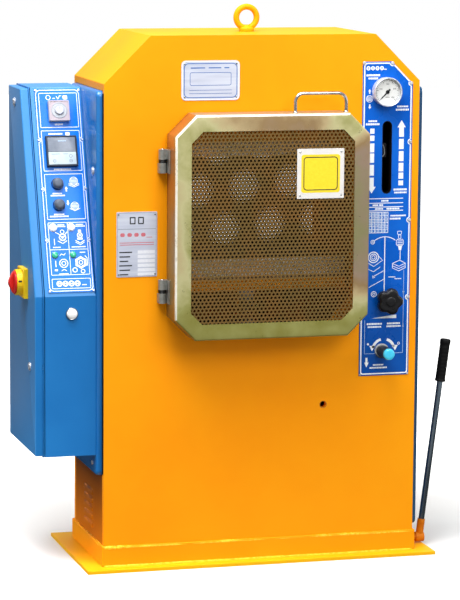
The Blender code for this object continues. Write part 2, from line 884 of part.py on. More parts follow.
def build_lower_platen():
    carrier = add_axis("platen_lift_axis", (0, middle_y, ram_top))
    ram = turned(on_plan, 0, middle_y, [(ram_diameter / 2, ram_bottom), (ram_diameter / 2, ram_top)])
    add_part("ram", ram, "bright steel", carrier)
    bolster = block(on_plan, -platen_half, platen_half, front_inner_y + bolster_side_gap,
                    rear_inner_y - bolster_side_gap, bolster_bottom, bolster_top)
    add_part("lower_bolster", bolster, "orange enamel", carrier)
    insulation_bottom = lower_insulation_top - insulation_thickness
    add_part("lower_insulation", platen_block(insulation_bottom, insulation_thickness),
             "insulation board", carrier)
    add_part("lower_platen", platen_block(lower_platen_bottom, platen_thickness), "ground steel", carrier)

    arm = pointer_arm()
    size = arm["high"] - arm["low"]
    root_x = platen_half + touch
    strip_left = lining_half + lining_wall + size / 2
    strip_right = strip_left + size
    blade_high = slot_bottom + slot_length * pointer_height_share + slot_width * pointer_blade_share / 2
    blade_low = blade_high - slot_width * pointer_blade_share
    blade_tip = slot_x + slot_width * pointer_reach_share
    outline = [(root_x, arm["low"]), (strip_right, arm["low"]), (strip_right, blade_low),
               (blade_tip, blade_low), (blade_tip, blade_high), (strip_left, blade_high),
               (strip_left, arm["high"]), (root_x, arm["high"])]
    add_part("travel_pointer", prism(on_front, outline, arm["front"], arm["back"]), "bright steel", carrier)


# Printed plate with the travel slot, the gauge and the two knobs
def build_control_plate():
    outline = [(control_left, control_bottom), (control_right, control_bottom),
               (control_right, control_top - control_cut), (control_right - control_cut, control_top),
               (control_left, control_top)]
    plate = add_part("right_control_plate", prism(on_front, outline, plate_face_y, front_y - touch),
                     "printed blue")
    cut_front = plate_face_y - overrun
    cut_back = front_y + overrun
    shaft_hole = knob_shaft_diameter / 2 + running
    cut(plate, together(
        prism(on_front, slot_outline(), cut_front, cut_back),
        cylinder(on_front, gauge_x, gauge_z, gauge_stem_diameter / 2 + running, cut_front, cut_back,
                 small_sides),
        cylinder(on_front, pressure_knob_x, pressure_knob_z, shaft_hole, cut_front, cut_back, small_sides),
        cylinder(on_front, valve_knob_x, valve_knob_z, shaft_hole, cut_front, cut_back, small_sides)))


def build_gauge():
    back = plate_face_y - touch
    front = back - gauge_depth
    dial = front + gauge_dial_depth
    outer = gauge_diameter / 2
    stem = gauge_stem_diameter / 2
    inner = outer - gauge_bezel
    add_part("gauge_case", turned(on_front, gauge_x, gauge_z, [
        (stem, front_inner_y), (stem, back), (outer, back), (outer, front + gauge_bezel / 2),
        (outer - gauge_bezel / 2, front), (inner, front), (inner, dial)]), "bright steel")
    lens_front = front + gauge_lens_set
    add_part("gauge_lens", cylinder(on_front, gauge_x, gauge_z, inner - touch, lens_front,
                                    lens_front + gauge_lens_thickness), "clear glass")
    axis = add_axis("gauge_needle_axis", (gauge_x, dial, gauge_z))
    needle_back = dial - touch
    needle_front = needle_back - needle_thickness
    needle = add_part("gauge_needle", cylinder(on_front, gauge_x, gauge_z, needle_hub_diameter / 2,
                                               needle_front, needle_back, small_sides), "black plastic",
                                               axis)
    heading = math.radians(needle_start_degrees)
    along = (math.cos(heading), math.sin(heading))
    half = needle_width / 2
    tip = (gauge_x + needle_length * along[0], gauge_z + needle_length * along[1])
    tail = (gauge_x - needle_tail * along[0], gauge_z - needle_tail * along[1])
    outline = [(tail[0] - half * along[1], tail[1] + half * along[0]),
               (tail[0] + half * along[1], tail[1] - half * along[0]),
               (tip[0] + half * along[1] / 2, tip[1] - half * along[0] / 2),
               (tip[0] - half * along[1] / 2, tip[1] + half * along[0] / 2)]
    fuse(needle, prism(on_front, outline, needle_front + needle_thickness / 4,
                       needle_back - needle_thickness / 4))


# A lobed grip: the radius dips between the lobes
def lobed_outline(centre_a, centre_b, radius):
    depth = pressure_knob_lobe_depth * radius / (pressure_knob_diameter / 2)
    outline = []
    count = round_sides + small_sides
    for step in range(count):
        angle = math.tau * step / count
        reach = radius - depth * (1 - math.cos(pressure_knob_lobes * angle)) / 2
        outline.append((centre_a + reach * math.cos(angle), centre_b + reach * math.sin(angle)))
    return outline


def build_knobs():
    face = plate_face_y - touch
    shaft_end = face + knob_shaft_length
    radius = pressure_knob_diameter / 2
    axis = add_axis("pressure_knob_axis", (pressure_knob_x, face, pressure_knob_z))
    back = face - pressure_knob_stand
    front = back - pressure_knob_depth
    edge = pressure_knob_lobe_depth / 2
    knob_loops = [(radius - edge, back), (radius, back - edge), (radius, front + edge), (radius - edge,
                                                                                         front)]
    knob = add_part("pressure_knob", solid([loop(on_front, lobed_outline(pressure_knob_x, pressure_knob_z,
                                                                         r), y)
                                            for r, y in knob_loops]), "black plastic", axis)
    fuse(knob, turned(on_front, pressure_knob_x, pressure_knob_z, [
        (knob_shaft_diameter / 2, shaft_end), (knob_shaft_diameter / 2, face), (knob_shaft_diameter, face),
        (knob_shaft_diameter, back - edge)], small_sides))

    axis = add_axis("valve_knob_axis", (valve_knob_x, face, valve_knob_z))
    nut_front = face - valve_nut_length
    knob_front = nut_front - valve_knob_length
    cap_front = knob_front - valve_cap_length
    add_part("valve_knob", turned(on_front, valve_knob_x, valve_knob_z, [
        (knob_shaft_diameter / 2, shaft_end), (knob_shaft_diameter / 2, face), (valve_nut_diameter / 2,
                                                                                face),
        (valve_nut_diameter / 2, nut_front), (valve_knob_diameter / 2, nut_front),
        (valve_knob_diameter / 2, knob_front), (valve_cap_diameter / 2, knob_front),
        (valve_cap_diameter / 2, cap_front + valve_cap_length / 4),
        (valve_cap_diameter / 2 - valve_cap_length / 4, cap_front)]), "cyan plastic", axis)

    block_back = front_inner_y + touch + valve_block_depth
    valve_block = add_part("valve_block", block(
        on_front, valve_knob_x - valve_block_margin, pressure_knob_x + valve_block_margin,
        valve_knob_z - valve_block_margin, pressure_knob_z + valve_block_margin,
        front_inner_y + touch, block_back), "ground steel")
    bore = knob_shaft_diameter / 2 + running
    bore_end = shaft_end + running
    cut(valve_block, together(
        cylinder(on_front, pressure_knob_x, pressure_knob_z, bore, front_y, bore_end, small_sides),
        cylinder(on_front, valve_knob_x, valve_knob_z, bore, front_y, bore_end, small_sides)))


def build_labels():
    back = front_y - touch
    outline = round_rectangle(name_plate_left, name_plate_left + name_plate_width, name_plate_bottom,
                              name_plate_bottom + name_plate_height, name_plate_corner)
    add_part("name_plate", prism(on_front, outline, back - small_label_sheet, back), "silver foil")
    outline = round_rectangle(data_plate_left, data_plate_left + data_plate_width, data_plate_bottom,
                              data_plate_bottom + data_plate_height, data_plate_corner)
    add_part("data_plate", prism(on_front, outline, back - small_label_sheet, back), "silver foil")


# Guard door: folded frame, perforated sheet, handle and sign plate on two lift-off hinges
def build_door():
    axis = add_axis("door_axis", (hinge_x, hinge_y, hinge_low_z))
    outline = cut_rectangle(door_left, -door_left, door_bottom, door_top, door_cut)
    add_part("door_frame", border_tray(on_front, outline, door_front_y, door_back_y, door_sheet,
                                       door_bend, door_border), "zinc chromate", axis)
    mesh_front = door_front_y + door_sheet + touch
    add_part("door_mesh", prism(on_front, inset(outline, door_border - mesh_overlap), mesh_front,
                                mesh_front + mesh_sheet), "zinc chromate", axis)
    handle_y = (door_front_y + door_back_y) / 2
    foot_z = door_top + touch
    corners = [Vector((handle_left, handle_y, foot_z)),
               Vector((handle_left, handle_y, foot_z + handle_height)),
               Vector((handle_left + handle_span, handle_y, foot_z + handle_height)),
               Vector((handle_left + handle_span, handle_y, foot_z))]
    add_part("door_handle", rod_along(rounded_line(corners, handle_corner), handle_rod_diameter / 2),
             "bright steel", axis)
    sign_back = mesh_front - touch
    outline = round_rectangle(sign_left, sign_left + sign_width, sign_bottom, sign_bottom + sign_height,
                              sign_corner)
    add_part("sign_plate", prism(on_front, outline, sign_back - small_label_sheet, sign_back),
             "white sheet", axis)
    for name, bottom in (("lower", hinge_low_z), ("upper", hinge_high_z)):
        build_hinge(name, bottom, axis)


# A fixed knuckle with a neck and a pin, and the leaf whose knuckle turns on the pin
def build_hinge(name, bottom, axis):
    neck_low = bottom + (hinge_height - hinge_neck_height) / 2
    neck_high = neck_low + hinge_neck_height
    top = bottom + hinge_height
    fixed = add_part("hinge_block_" + name, turned(on_plan, hinge_x, hinge_y, [
        (hinge_knuckle_radius, bottom), (hinge_knuckle_radius, neck_low), (hinge_neck_radius, neck_low),
        (hinge_neck_radius, neck_high), (hinge_pin_radius, neck_high),
        (hinge_pin_radius, top - overrun)], small_sides), "grey zinc")
    foot_inset = hinge_neck_height / 10
    fuse(fixed, block(on_plan, hinge_x - hinge_knuckle_radius, hinge_x + hinge_knuckle_radius - foot_inset,
                      hinge_y, front_y - touch, bottom + foot_inset, neck_low - foot_inset))
    leaf_right = door_left - touch
    leaf_left = leaf_right - hinge_leaf_thickness
    leaf_back = hinge_y + hinge_knuckle_radius / 2
    leaf = add_part("hinge_leaf_" + name, block(on_plan, leaf_left, leaf_right,
                                                leaf_back - hinge_leaf_depth,
                                                leaf_back, bottom, top), "grey zinc", axis)
    knuckle_low = neck_high + touch
    web_inset = hinge_leaf_thickness / 4
    fuse(leaf, block(on_plan, hinge_x, leaf_right - web_inset, hinge_y - hinge_knuckle_radius + web_inset,
                     hinge_y + web_inset, knuckle_low + web_inset, top - web_inset),
         cylinder(on_plan, hinge_x, hinge_y, hinge_knuckle_radius, knuckle_low, top, small_sides))
    cut(leaf, cylinder(on_plan, hinge_x, hinge_y, hinge_pin_radius + running, knuckle_low - overrun,
                       top + overrun, small_sides))


def cabinet_outline():
    return [(cabinet_front_y, cabinet_bottom), (cabinet_rear_y, cabinet_bottom), (cabinet_rear_y,
                                                                                  cabinet_top),
            (cabinet_shoulder_y, cabinet_top), (cabinet_front_y, cabinet_knee)]


def slope_square(centre_b, size, low, high, overlap=0):
    half = size / 2 + overlap
    return block(on_slope, strip_x - half, strip_x + half, centre_b - half, centre_b + half, low, high)


def lamp_places(offset):
    return strip_x + offset - lamp_spacing / 2, strip_x + offset + lamp_spacing / 2


# Cuts through the printed strip and the sloping wall for everything mounted there
def slope_cuts(low, high):
    stem = lamp_stem_diameter / 2 + touch
    cuts = [slope_square(timer_place, timer_rear_size, low, high, touch),
            slope_square(controller_place, controller_rear_size, low, high, touch)]
    for place in (reset_upper_place, reset_lower_place):
        cuts.append(cylinder(on_slope, strip_x + reset_offset, place, reset_stem_diameter / 2 + running,
                             low, high, small_sides))
    for place in (white_lamp_place, green_lamp_place):
        for lamp_x in lamp_places(lamp_offset):
            cuts.append(cylinder(on_slope, lamp_x, place, stem, low, high, rod_sides))
    return together(*cuts)


# Open box with a return lip, hung on the left side cover
def build_cabinet_body():
    outline = cabinet_outline()
    seam = cabinet_seam_x + touch
    loops = [loop(on_side, outline, cabinet_right_x), loop(on_side, outline, seam),
             loop(on_side, inset(outline, cabinet_lip), seam),
             loop(on_side, inset(outline, cabinet_lip), seam + cabinet_sheet),
             loop(on_side, inset(outline, cabinet_sheet), seam + cabinet_sheet),
             loop(on_side, inset(outline, cabinet_sheet), cabinet_right_x - cabinet_sheet)]
    cabinet = add_part("cabinet_body", solid(loops), "blue enamel")
    for bottom in barrel_bottoms():
        low = bottom
        high = bottom + barrel_height / 2
        fuse(cabinet, block(on_plan, cabinet_seam_x + running, cabinet_seam_x + barrel_tab,
                            cabinet_rear_y - cabinet_sheet / 2, barrel_y, low + running, high - running),
             cylinder(on_plan, cabinet_seam_x, barrel_y, barrel_radius, low, high, rod_sides))
    cut(cabinet, slope_cuts(-cabinet_sheet - overrun, overrun),
        cylinder(on_front, strip_x, power_lamp_z, power_lamp_stem_diameter / 2 + touch,
                 cabinet_front_y - overrun, cabinet_front_y + cabinet_sheet + overrun, small_sides))

    margin = mount_plate_margin
    plate_right = cabinet_right_x - cabinet_sheet - touch
    plate_left = plate_right - mount_plate_sheet
    mounting = add_part("mounting_plate", prism(on_side, inset(outline, margin), plate_left, plate_right),
                        "grey zinc")
    first_y = (cabinet_front_y + cabinet_rear_y - contactor_pitch * (contactor_count - 1)) / 2
    low_z = (cabinet_bottom + cabinet_knee - contactor_height) / 2
    for index in range(contactor_count):
        centre = first_y + index * contactor_pitch
        fuse(mounting, block(on_side, centre - contactor_width / 2, centre + contactor_width / 2,
                             low_z, low_z + contactor_height, plate_left - contactor_depth,
                             plate_right - mount_plate_sheet / 2))


def barrel_bottoms():
    return cabinet_bottom + barrel_margin, cabinet_top - barrel_margin


# The cabinet's left side is a folded door on its rear edge
def build_cabinet_door():
    axis = add_axis("cabinet_door_axis", (cabinet_seam_x, barrel_y, cabinet_bottom))
    outline = inset(cabinet_outline(), cabinet_door_inset)
    door = add_part("cabinet_door", tray(on_side, outline, cabinet_left_x, cabinet_seam_x - touch,
                                         cabinet_sheet, cabinet_door_bend), "blue enamel", axis)
    for bottom in barrel_bottoms():
        low = bottom + barrel_height / 2 + touch
        high = bottom + barrel_height
        fuse(door, block(on_plan, cabinet_seam_x - barrel_tab, cabinet_seam_x - running,
                         cabinet_rear_y - cabinet_door_inset - cabinet_sheet / 2, barrel_y,
                         low + running, high - running),
             cylinder(on_plan, cabinet_seam_x, barrel_y, barrel_radius, low, high, rod_sides))
    holes = [cylinder(on_side, y, z, lock_shaft_diameter / 2 + running, cabinet_left_x - overrun,
                      cabinet_left_x + cabinet_sheet + overrun, small_sides)
             for y, z in ((upper_lock_y, upper_lock_z), (lower_lock_y, lower_lock_z))]
    cut(door, together(*holes))
    build_main_switch(axis)
    upper_reach = cabinet_top - cabinet_sheet - upper_lock_z - lock_cam_edge_gap
    lower_reach = lower_lock_y - cabinet_front_y - cabinet_sheet - lock_cam_edge_gap
    cam_right = cabinet_seam_x + cabinet_sheet + lock_cam_gap + lock_cam_thickness
    half = lock_cam_width / 2
    add_lock("cabinet_lock_upper", upper_lock_y, upper_lock_z, cabinet_left_x, cam_right, axis,
             (upper_lock_y - half, upper_lock_y + half, upper_lock_z - half, upper_lock_z + upper_reach))
    add_lock("cabinet_lock_lower", lower_lock_y, lower_lock_z, cabinet_left_x, cam_right, axis,
             (lower_lock_y - lower_reach, lower_lock_y + half, lower_lock_z - half, lower_lock_z + half))


# Quarter-turn lock: head outside, shaft through the sheet, cam inside
def add_lock(name, y, z, face_x, cam_right, carrier, cam):
    axis = add_axis(name + "_axis", (face_x, y, z), carrier)
    head_right = face_x - touch
    head_left = head_right - lock_head_depth
    edge = lock_head_depth / 4
    lock = add_part(name, turned(on_side, y, z, [
        (lock_head_diameter / 2 - edge, head_left), (lock_head_diameter / 2, head_left + edge),
        (lock_head_diameter / 2, head_right), (lock_shaft_diameter / 2, head_right),
        (lock_shaft_diameter / 2, cam_right - lock_cam_thickness / 4)], small_sides), "bright steel", axis)
    fuse(lock, block(on_side, cam[0], cam[1], cam[2], cam[3], cam_right - lock_cam_thickness, cam_right))


# Switch on the cabinet's door: a square base with a round barrel, and the handle on the barrel's face
def build_main_switch(carrier):
    half = switch_size / 2
    base_right = cabinet_left_x - touch
    base_left = base_right - switch_base_depth
    barrel_left = base_left - switch_barrel_depth
    base = add_part("main_switch_base", block(on_side, switch_y - half, switch_y + half, switch_z - half,
                                              switch_z + half, base_left, base_right), "yellow plastic",
                    carrier)
    fuse(base, cylinder(on_side, switch_y, switch_z, switch_barrel_diameter / 2, barrel_left,
                        base_left + switch_base_depth / 4))
    stub = switch_stub_diameter / 2
    cut(base, cylinder(on_side, switch_y, switch_z, stub + running, barrel_left - overrun,
                       barrel_left + switch_stub_length + running, small_sides))
    axis = add_axis("main_switch_axis", (barrel_left, switch_y, switch_z), carrier)
    knob_right = barrel_left - touch
    knob_left = knob_right - switch_knob_depth
    edge = switch_knob_depth / 4
    knob = switch_knob_diameter / 2
    handle = add_part("main_switch_handle", turned(on_side, switch_y, switch_z, [
        (stub, barrel_left + switch_stub_length), (stub, knob_right), (knob, knob_right),
        (knob, knob_left + edge), (knob - edge, knob_left)], round_sides), "red plastic", axis)
    fuse(handle, block(on_side, switch_y - switch_grip_width / 2, switch_y + switch_grip_width / 2,
                       switch_z - switch_grip_length / 2, switch_z + switch_grip_length / 2,
                       knob_left - switch_grip_depth, knob_left + edge))


def build_cover_lock():
    cam_right = -cover_face_x + cover_sheet + lock_cam_gap + lock_cam_thickness
    half = lock_cam_width / 2
    add_lock("cover_lock", cover_lock_y, cover_lock_z, -cover_face_x, cam_right, None,
             (cover_lock_y - half, cover_lock_y + half, cover_lock_z - half,
              cover_lock_z + cover_lock_cam_length))


# Printed strip on the slope with timer, controller, push buttons and lamps
def build_slope_controls():
    face = label_sheet + touch
    strip_half = strip_width / 2
    strip = add_part("left_control_plate", block(on_slope, strip_x - strip_half, strip_x + strip_half,
                                                 strip_start, strip_start + strip_length, touch, face),
                     "printed blue")
    cut(strip, slope_cuts(-overrun, face + overrun))

    seat = face + touch
    timer = add_part("timer_body", slope_square(timer_place, timer_size, seat, seat + timer_proud),
                     "grey plastic")
    fuse(timer, slope_square(timer_place, timer_rear_size, -timer_rear_depth, seat + timer_proud / 2))
    axis = add_axis("timer_knob_axis", on_slope(strip_x, timer_place, seat + timer_proud))
    knob_low = seat + timer_proud + touch
    knob_high = knob_low + timer_knob_height
    edge = timer_knob_height / 6
    add_part("timer_knob", turned(on_slope, strip_x, timer_place, [
        (timer_knob_diameter / 2, knob_low), (timer_knob_diameter / 2, knob_high - edge),
        (timer_knob_diameter / 2 - edge, knob_high)], small_sides), "grey plastic", axis)
    controller = add_part("temperature_controller", slope_square(controller_place, controller_size, seat,
                                                                 seat + controller_proud), "dark plastic")
    fuse(controller, slope_square(controller_place, controller_rear_size, -timer_rear_depth,
                                  seat + controller_proud / 2))

    for name, place in (("reset_button_upper", reset_upper_place), ("reset_button_lower",
                                                                    reset_lower_place)):
        x = strip_x + reset_offset
        axis = add_axis(name + "_axis", on_slope(x, place, seat))
        head_low = seat + reset_travel
        head_high = head_low + reset_height
        stem = reset_stem_diameter / 2
        head = reset_diameter / 2
        add_part(name, turned(on_slope, x, place, [
            (stem, seat - reset_stem_length), (stem, head_low), (head, head_low),
            (head, head_low + reset_height / 2), (head - reset_height / 4, head_high - reset_height / 8),
            (stem / 2, head_high)], small_sides), "dark plastic", axis)

    for name, place, look in (("white_lamp_pair", white_lamp_place, "white lens"),
                              ("green_lamp_pair", green_lamp_place, "green lens")):
        build_lamp_pair(name, place, look, seat)

    rear = cabinet_front_y + power_lamp_rear_length
    front = cabinet_front_y - touch
    bezel = power_lamp_diameter / 2
    dome = power_lamp_height / 3
    stem = power_lamp_stem_diameter / 2
    add_part("power_lamp", turned(on_front, strip_x, power_lamp_z, [
        (stem, rear), (stem, front), (bezel, front), (bezel, front - dome), (stem, front - 2 * dome),
        (stem / 2, front - 3 * dome)], small_sides), "white lens")


# Two lamps on one carrier strip behind the sloping wall
def build_lamp_pair(name, place, look, seat):
    strip_high = -cabinet_sheet - lamp_rear_length / 2
    strip_low = strip_high - lamp_strip_thickness
    left, right = lamp_places(lamp_offset)
    stem = lamp_stem_diameter / 2
    head = lamp_diameter / 2
    pair = add_part(name, block(on_slope, left - head, right + head, place - head, place + head,
                                strip_low, strip_high), look)
    for x in (left, right):
        fuse(pair, turned(on_slope, x, place, [
            (stem, strip_low + lamp_strip_thickness / 2), (stem, seat), (head, seat),
            (head, seat + lamp_height / 2), (stem, seat + lamp_height)], rod_sides))


# Lever, rocker shaft and crank, and the pump that the crank's plunger works in
def build_pump():
    axis = add_axis("lever_axis", (lever_x, lever_y, lever_z))
    hub_low = lever_x - lever_hub_width / 2
    hub_high = lever_x + lever_hub_width / 2
    crank_low = crank_x - crank_width / 2
    crank_high = crank_x + crank_width / 2
    socket = add_part("lever_socket", turned(on_side, lever_y, lever_z, [
        (lever_shaft_radius, crank_low + crank_half_height / 2), (lever_shaft_radius, hub_low),
        (lever_hub_radius, hub_low), (lever_hub_radius, hub_high)], small_sides), "orange enamel", axis)
    fuse(socket, cylinder(on_lever, 0, 0, socket_radius, 0, socket_length, small_sides),
         cylinder(on_side, plunger_y, lever_z, crank_boss_radius, crank_low, crank_high, small_sides),
         block(on_side, lever_y, plunger_y, lever_z - crank_half_height, lever_z + crank_half_height,
               crank_low + crank_half_height / 4, crank_high - crank_half_height / 4),
         cylinder(on_side, lever_y, lever_z, lever_hub_radius - crank_half_height / 4,
                  crank_low + crank_half_height / 8, crank_high - crank_half_height / 8, small_sides))
    cut(socket, cylinder(on_lever, 0, 0, rod_radius + touch, socket_floor, socket_length + overrun,
                         small_sides))
    grip_end = grip_start + grip_length
    grip_bore_end = grip_end - grip_cap
    add_part("lever_rod", cylinder(on_lever, 0, 0, rod_radius, socket_floor + touch, grip_bore_end - touch,
                                   small_sides), "bright steel", axis)
    add_part("lever_grip", turned(on_lever, 0, 0, [
        (rod_radius + touch, grip_bore_end), (rod_radius + touch, grip_start), (grip_radius + touch,
                                                                                grip_start),
        (grip_radius + grip_cap / 3, grip_start + grip_cap), (grip_radius, grip_start + 2 * grip_cap),
        (grip_radius, grip_end - grip_cap), (grip_radius - grip_cap / 2, grip_end)], small_sides),
        "black plastic", axis)
    carrier = add_axis("plunger_axis", (crank_x, plunger_y, plunger_bottom))
    add_part("pump_plunger", cylinder(on_plan, crank_x, plunger_y, plunger_radius, plunger_bottom,
                                      plunger_bottom + plunger_length, small_sides), "bright steel",
                                      carrier)

    block_half = plunger_radius + pump_block_wall
    tank_front = plunger_y + block_half
    tank_top = floor_z + tank_height
    outline = [(tank_front, floor_z), (tank_front + tank_depth, floor_z), (tank_front + tank_depth,
                                                                           tank_top),
               (plunger_y - block_half, tank_top), (plunger_y - block_half, pump_block_bottom),
               (tank_front, pump_block_bottom)]
    pump = add_part("hand_pump", prism(on_side, outline, crank_x + block_half - tank_width,
                                       crank_x + block_half),
                    "grey zinc")
    port_x = crank_x + block_half - tank_width / 2
    port_z = cylinder_bottom + cylinder_floor
    corners = [Vector((port_x, middle_y, tank_top - pipe_bend)), Vector((port_x, middle_y, port_z)),
               Vector((cylinder_diameter / 2 + touch, middle_y, port_z))]
    fuse(pump, rod_along(rounded_line(corners, pipe_bend), pipe_radius))
    cut(pump, cylinder(on_plan, crank_x, plunger_y, plunger_radius + running, pump_block_bottom - overrun,
                       pump_bore_top, small_sides))


def build_machine():
    for thing in list(bpy.data.objects):
        bpy.data.objects.remove(thing)
    build_body()
    build_lower_panels()
    build_side_covers()
    build_lifting_eye()
    build_throat()
    build_lower_platen()
    build_control_plate()
    build_gauge()
    build_knobs()
    build_labels()
    build_door()
    build_cabinet_body()
    build_cabinet_door()
    build_cover_lock()
    build_slope_controls()
    build_pump()


build_machine()
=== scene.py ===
import bmesh
import bpy
import numpy as np
from mathutils import Matrix, Vector


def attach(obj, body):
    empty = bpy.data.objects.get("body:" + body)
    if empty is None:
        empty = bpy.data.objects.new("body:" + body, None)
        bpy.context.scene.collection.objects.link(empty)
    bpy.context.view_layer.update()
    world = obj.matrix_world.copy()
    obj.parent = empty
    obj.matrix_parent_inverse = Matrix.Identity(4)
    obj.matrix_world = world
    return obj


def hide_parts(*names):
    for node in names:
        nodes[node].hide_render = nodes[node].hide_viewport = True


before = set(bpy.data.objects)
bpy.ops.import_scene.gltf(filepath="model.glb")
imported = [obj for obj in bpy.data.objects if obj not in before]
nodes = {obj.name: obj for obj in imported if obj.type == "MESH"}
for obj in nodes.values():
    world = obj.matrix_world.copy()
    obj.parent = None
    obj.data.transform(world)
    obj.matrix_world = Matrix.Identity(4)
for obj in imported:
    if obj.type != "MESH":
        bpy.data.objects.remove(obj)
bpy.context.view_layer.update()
print("frame loaded:", len(nodes), "nodes")

# Shapes are worked out in millimetres, which makeMesh turns to metres. All else is in metres.


# Materials

# One sRGB hex value to linear light, alpha one
def linear(code):
    share = np.array([int(code[i:i + 2], 16) for i in (1, 3, 5)]) / 255
    light = np.where(share <= 0.04045, share / 12.92, ((share + 0.055) / 1.055) ** 2.4)
    return (*light.tolist(), 1.0)


# Adds one node: capitalised or numbered settings are sockets, "stops" a ramp's colours, the rest attributes
def addNode(tree, kind, settings=None, links=None):
    node = tree.nodes.new("ShaderNode" + kind)
    for key, value in (settings or {}).items():
        if key == "stops":
            elements = node.color_ramp.elements
            while len(elements) < len(value):
                elements.new(0.5)
            for element, (spot, colour) in zip(elements, value):
                element.position = spot
                element.color = linear(colour)
        elif isinstance(key, int) or key[0].isupper():
            node.inputs[key].default_value = value
        else:
            setattr(node, key, value)
    for key, (source, output) in (links or {}).items():
        tree.links.new(source.outputs[output], node.inputs[key])
    return node


# A material with its shader's constants set on the shader itself
def startMaterial(name, settings):
    material = bpy.data.materials.new(name)
    material.use_nodes = True
    tree = material.node_tree
    tree.nodes.clear()
    shader = addNode(tree, "BsdfPrincipled", settings)
    addNode(tree, "OutputMaterial", links={"Surface": (shader, "BSDF")})
    return material, tree, shader, addNode(tree, "TexCoord")


# Gives the shader its colour, a roughness that follows one noise and a bump that follows another
def linkSurface(tree, shader, tint, cloud, gloss, grain, strength, bumpMm):
    rough = addNode(tree, "MapRange", {"From Min": 0.3, "From Max": 0.7, "To Min": gloss[0],
                                       "To Max": gloss[1]},
                    {"Value": (cloud, "Fac")})
    bump = addNode(tree, "Bump", {"Strength": strength, "Distance": bumpMm / 1000},
                   {"Height": (grain, "Fac")})
    tree.links.new(tint.outputs["Color"], shader.inputs["Base Color"])
    tree.links.new(rough.outputs["Result"], shader.inputs["Roughness"])
    tree.links.new(bump.outputs["Normal"], shader.inputs["Normal"])


# A surface that two noises vary: one slow and cloudy for colour and roughness, one fine and even for the
# bump. cloud and grain are features per metre, gloss is the roughness range.
def variedMaterial(name, colours, cloud, grain, gloss, bumpMm, specular=0.5, metallic=0.0, stretch=(1, 1, 1),
                   coat=0.0):
    material, tree, shader, coords = startMaterial(name, {
        "Metallic": metallic, "Specular IOR Level": specular, "Coat Weight": coat})
    mapping = addNode(tree, "Mapping", {"Scale": stretch}, {"Vector": (coords, "Object")})
    slow = addNode(tree, "TexNoise", {"Scale": cloud, "Detail": 4.0, "Roughness": 0.55},
                   {"Vector": (mapping, "Vector")})
    fine = addNode(tree, "TexNoise", {"Scale": grain, "Detail": 2.0}, {"Vector": (mapping, "Vector")})
    stops = list(zip(np.linspace(0.30, 0.70, len(colours.split())).tolist(), colours.split()))
    tint = addNode(tree, "ValToRGB", {"stops": stops}, {"Fac": (slow, "Fac")})
    linkSurface(tree, shader, tint, slow, gloss, fine, 0.6, bumpMm)
    return material


# What several finishes share: cloud, grain, gloss and, for most, bump and specular level
rolledCoat = (2.4, 330, (0.42, 0.52))
powderCoat = (3.1, 620, (0.32, 0.42), 0.09, 0.3)
printedSheet = (11, 900, (0.24, 0.32), 0.02, 0.22)
ink = (240, 1500, (0.42, 0.55), 0.01)

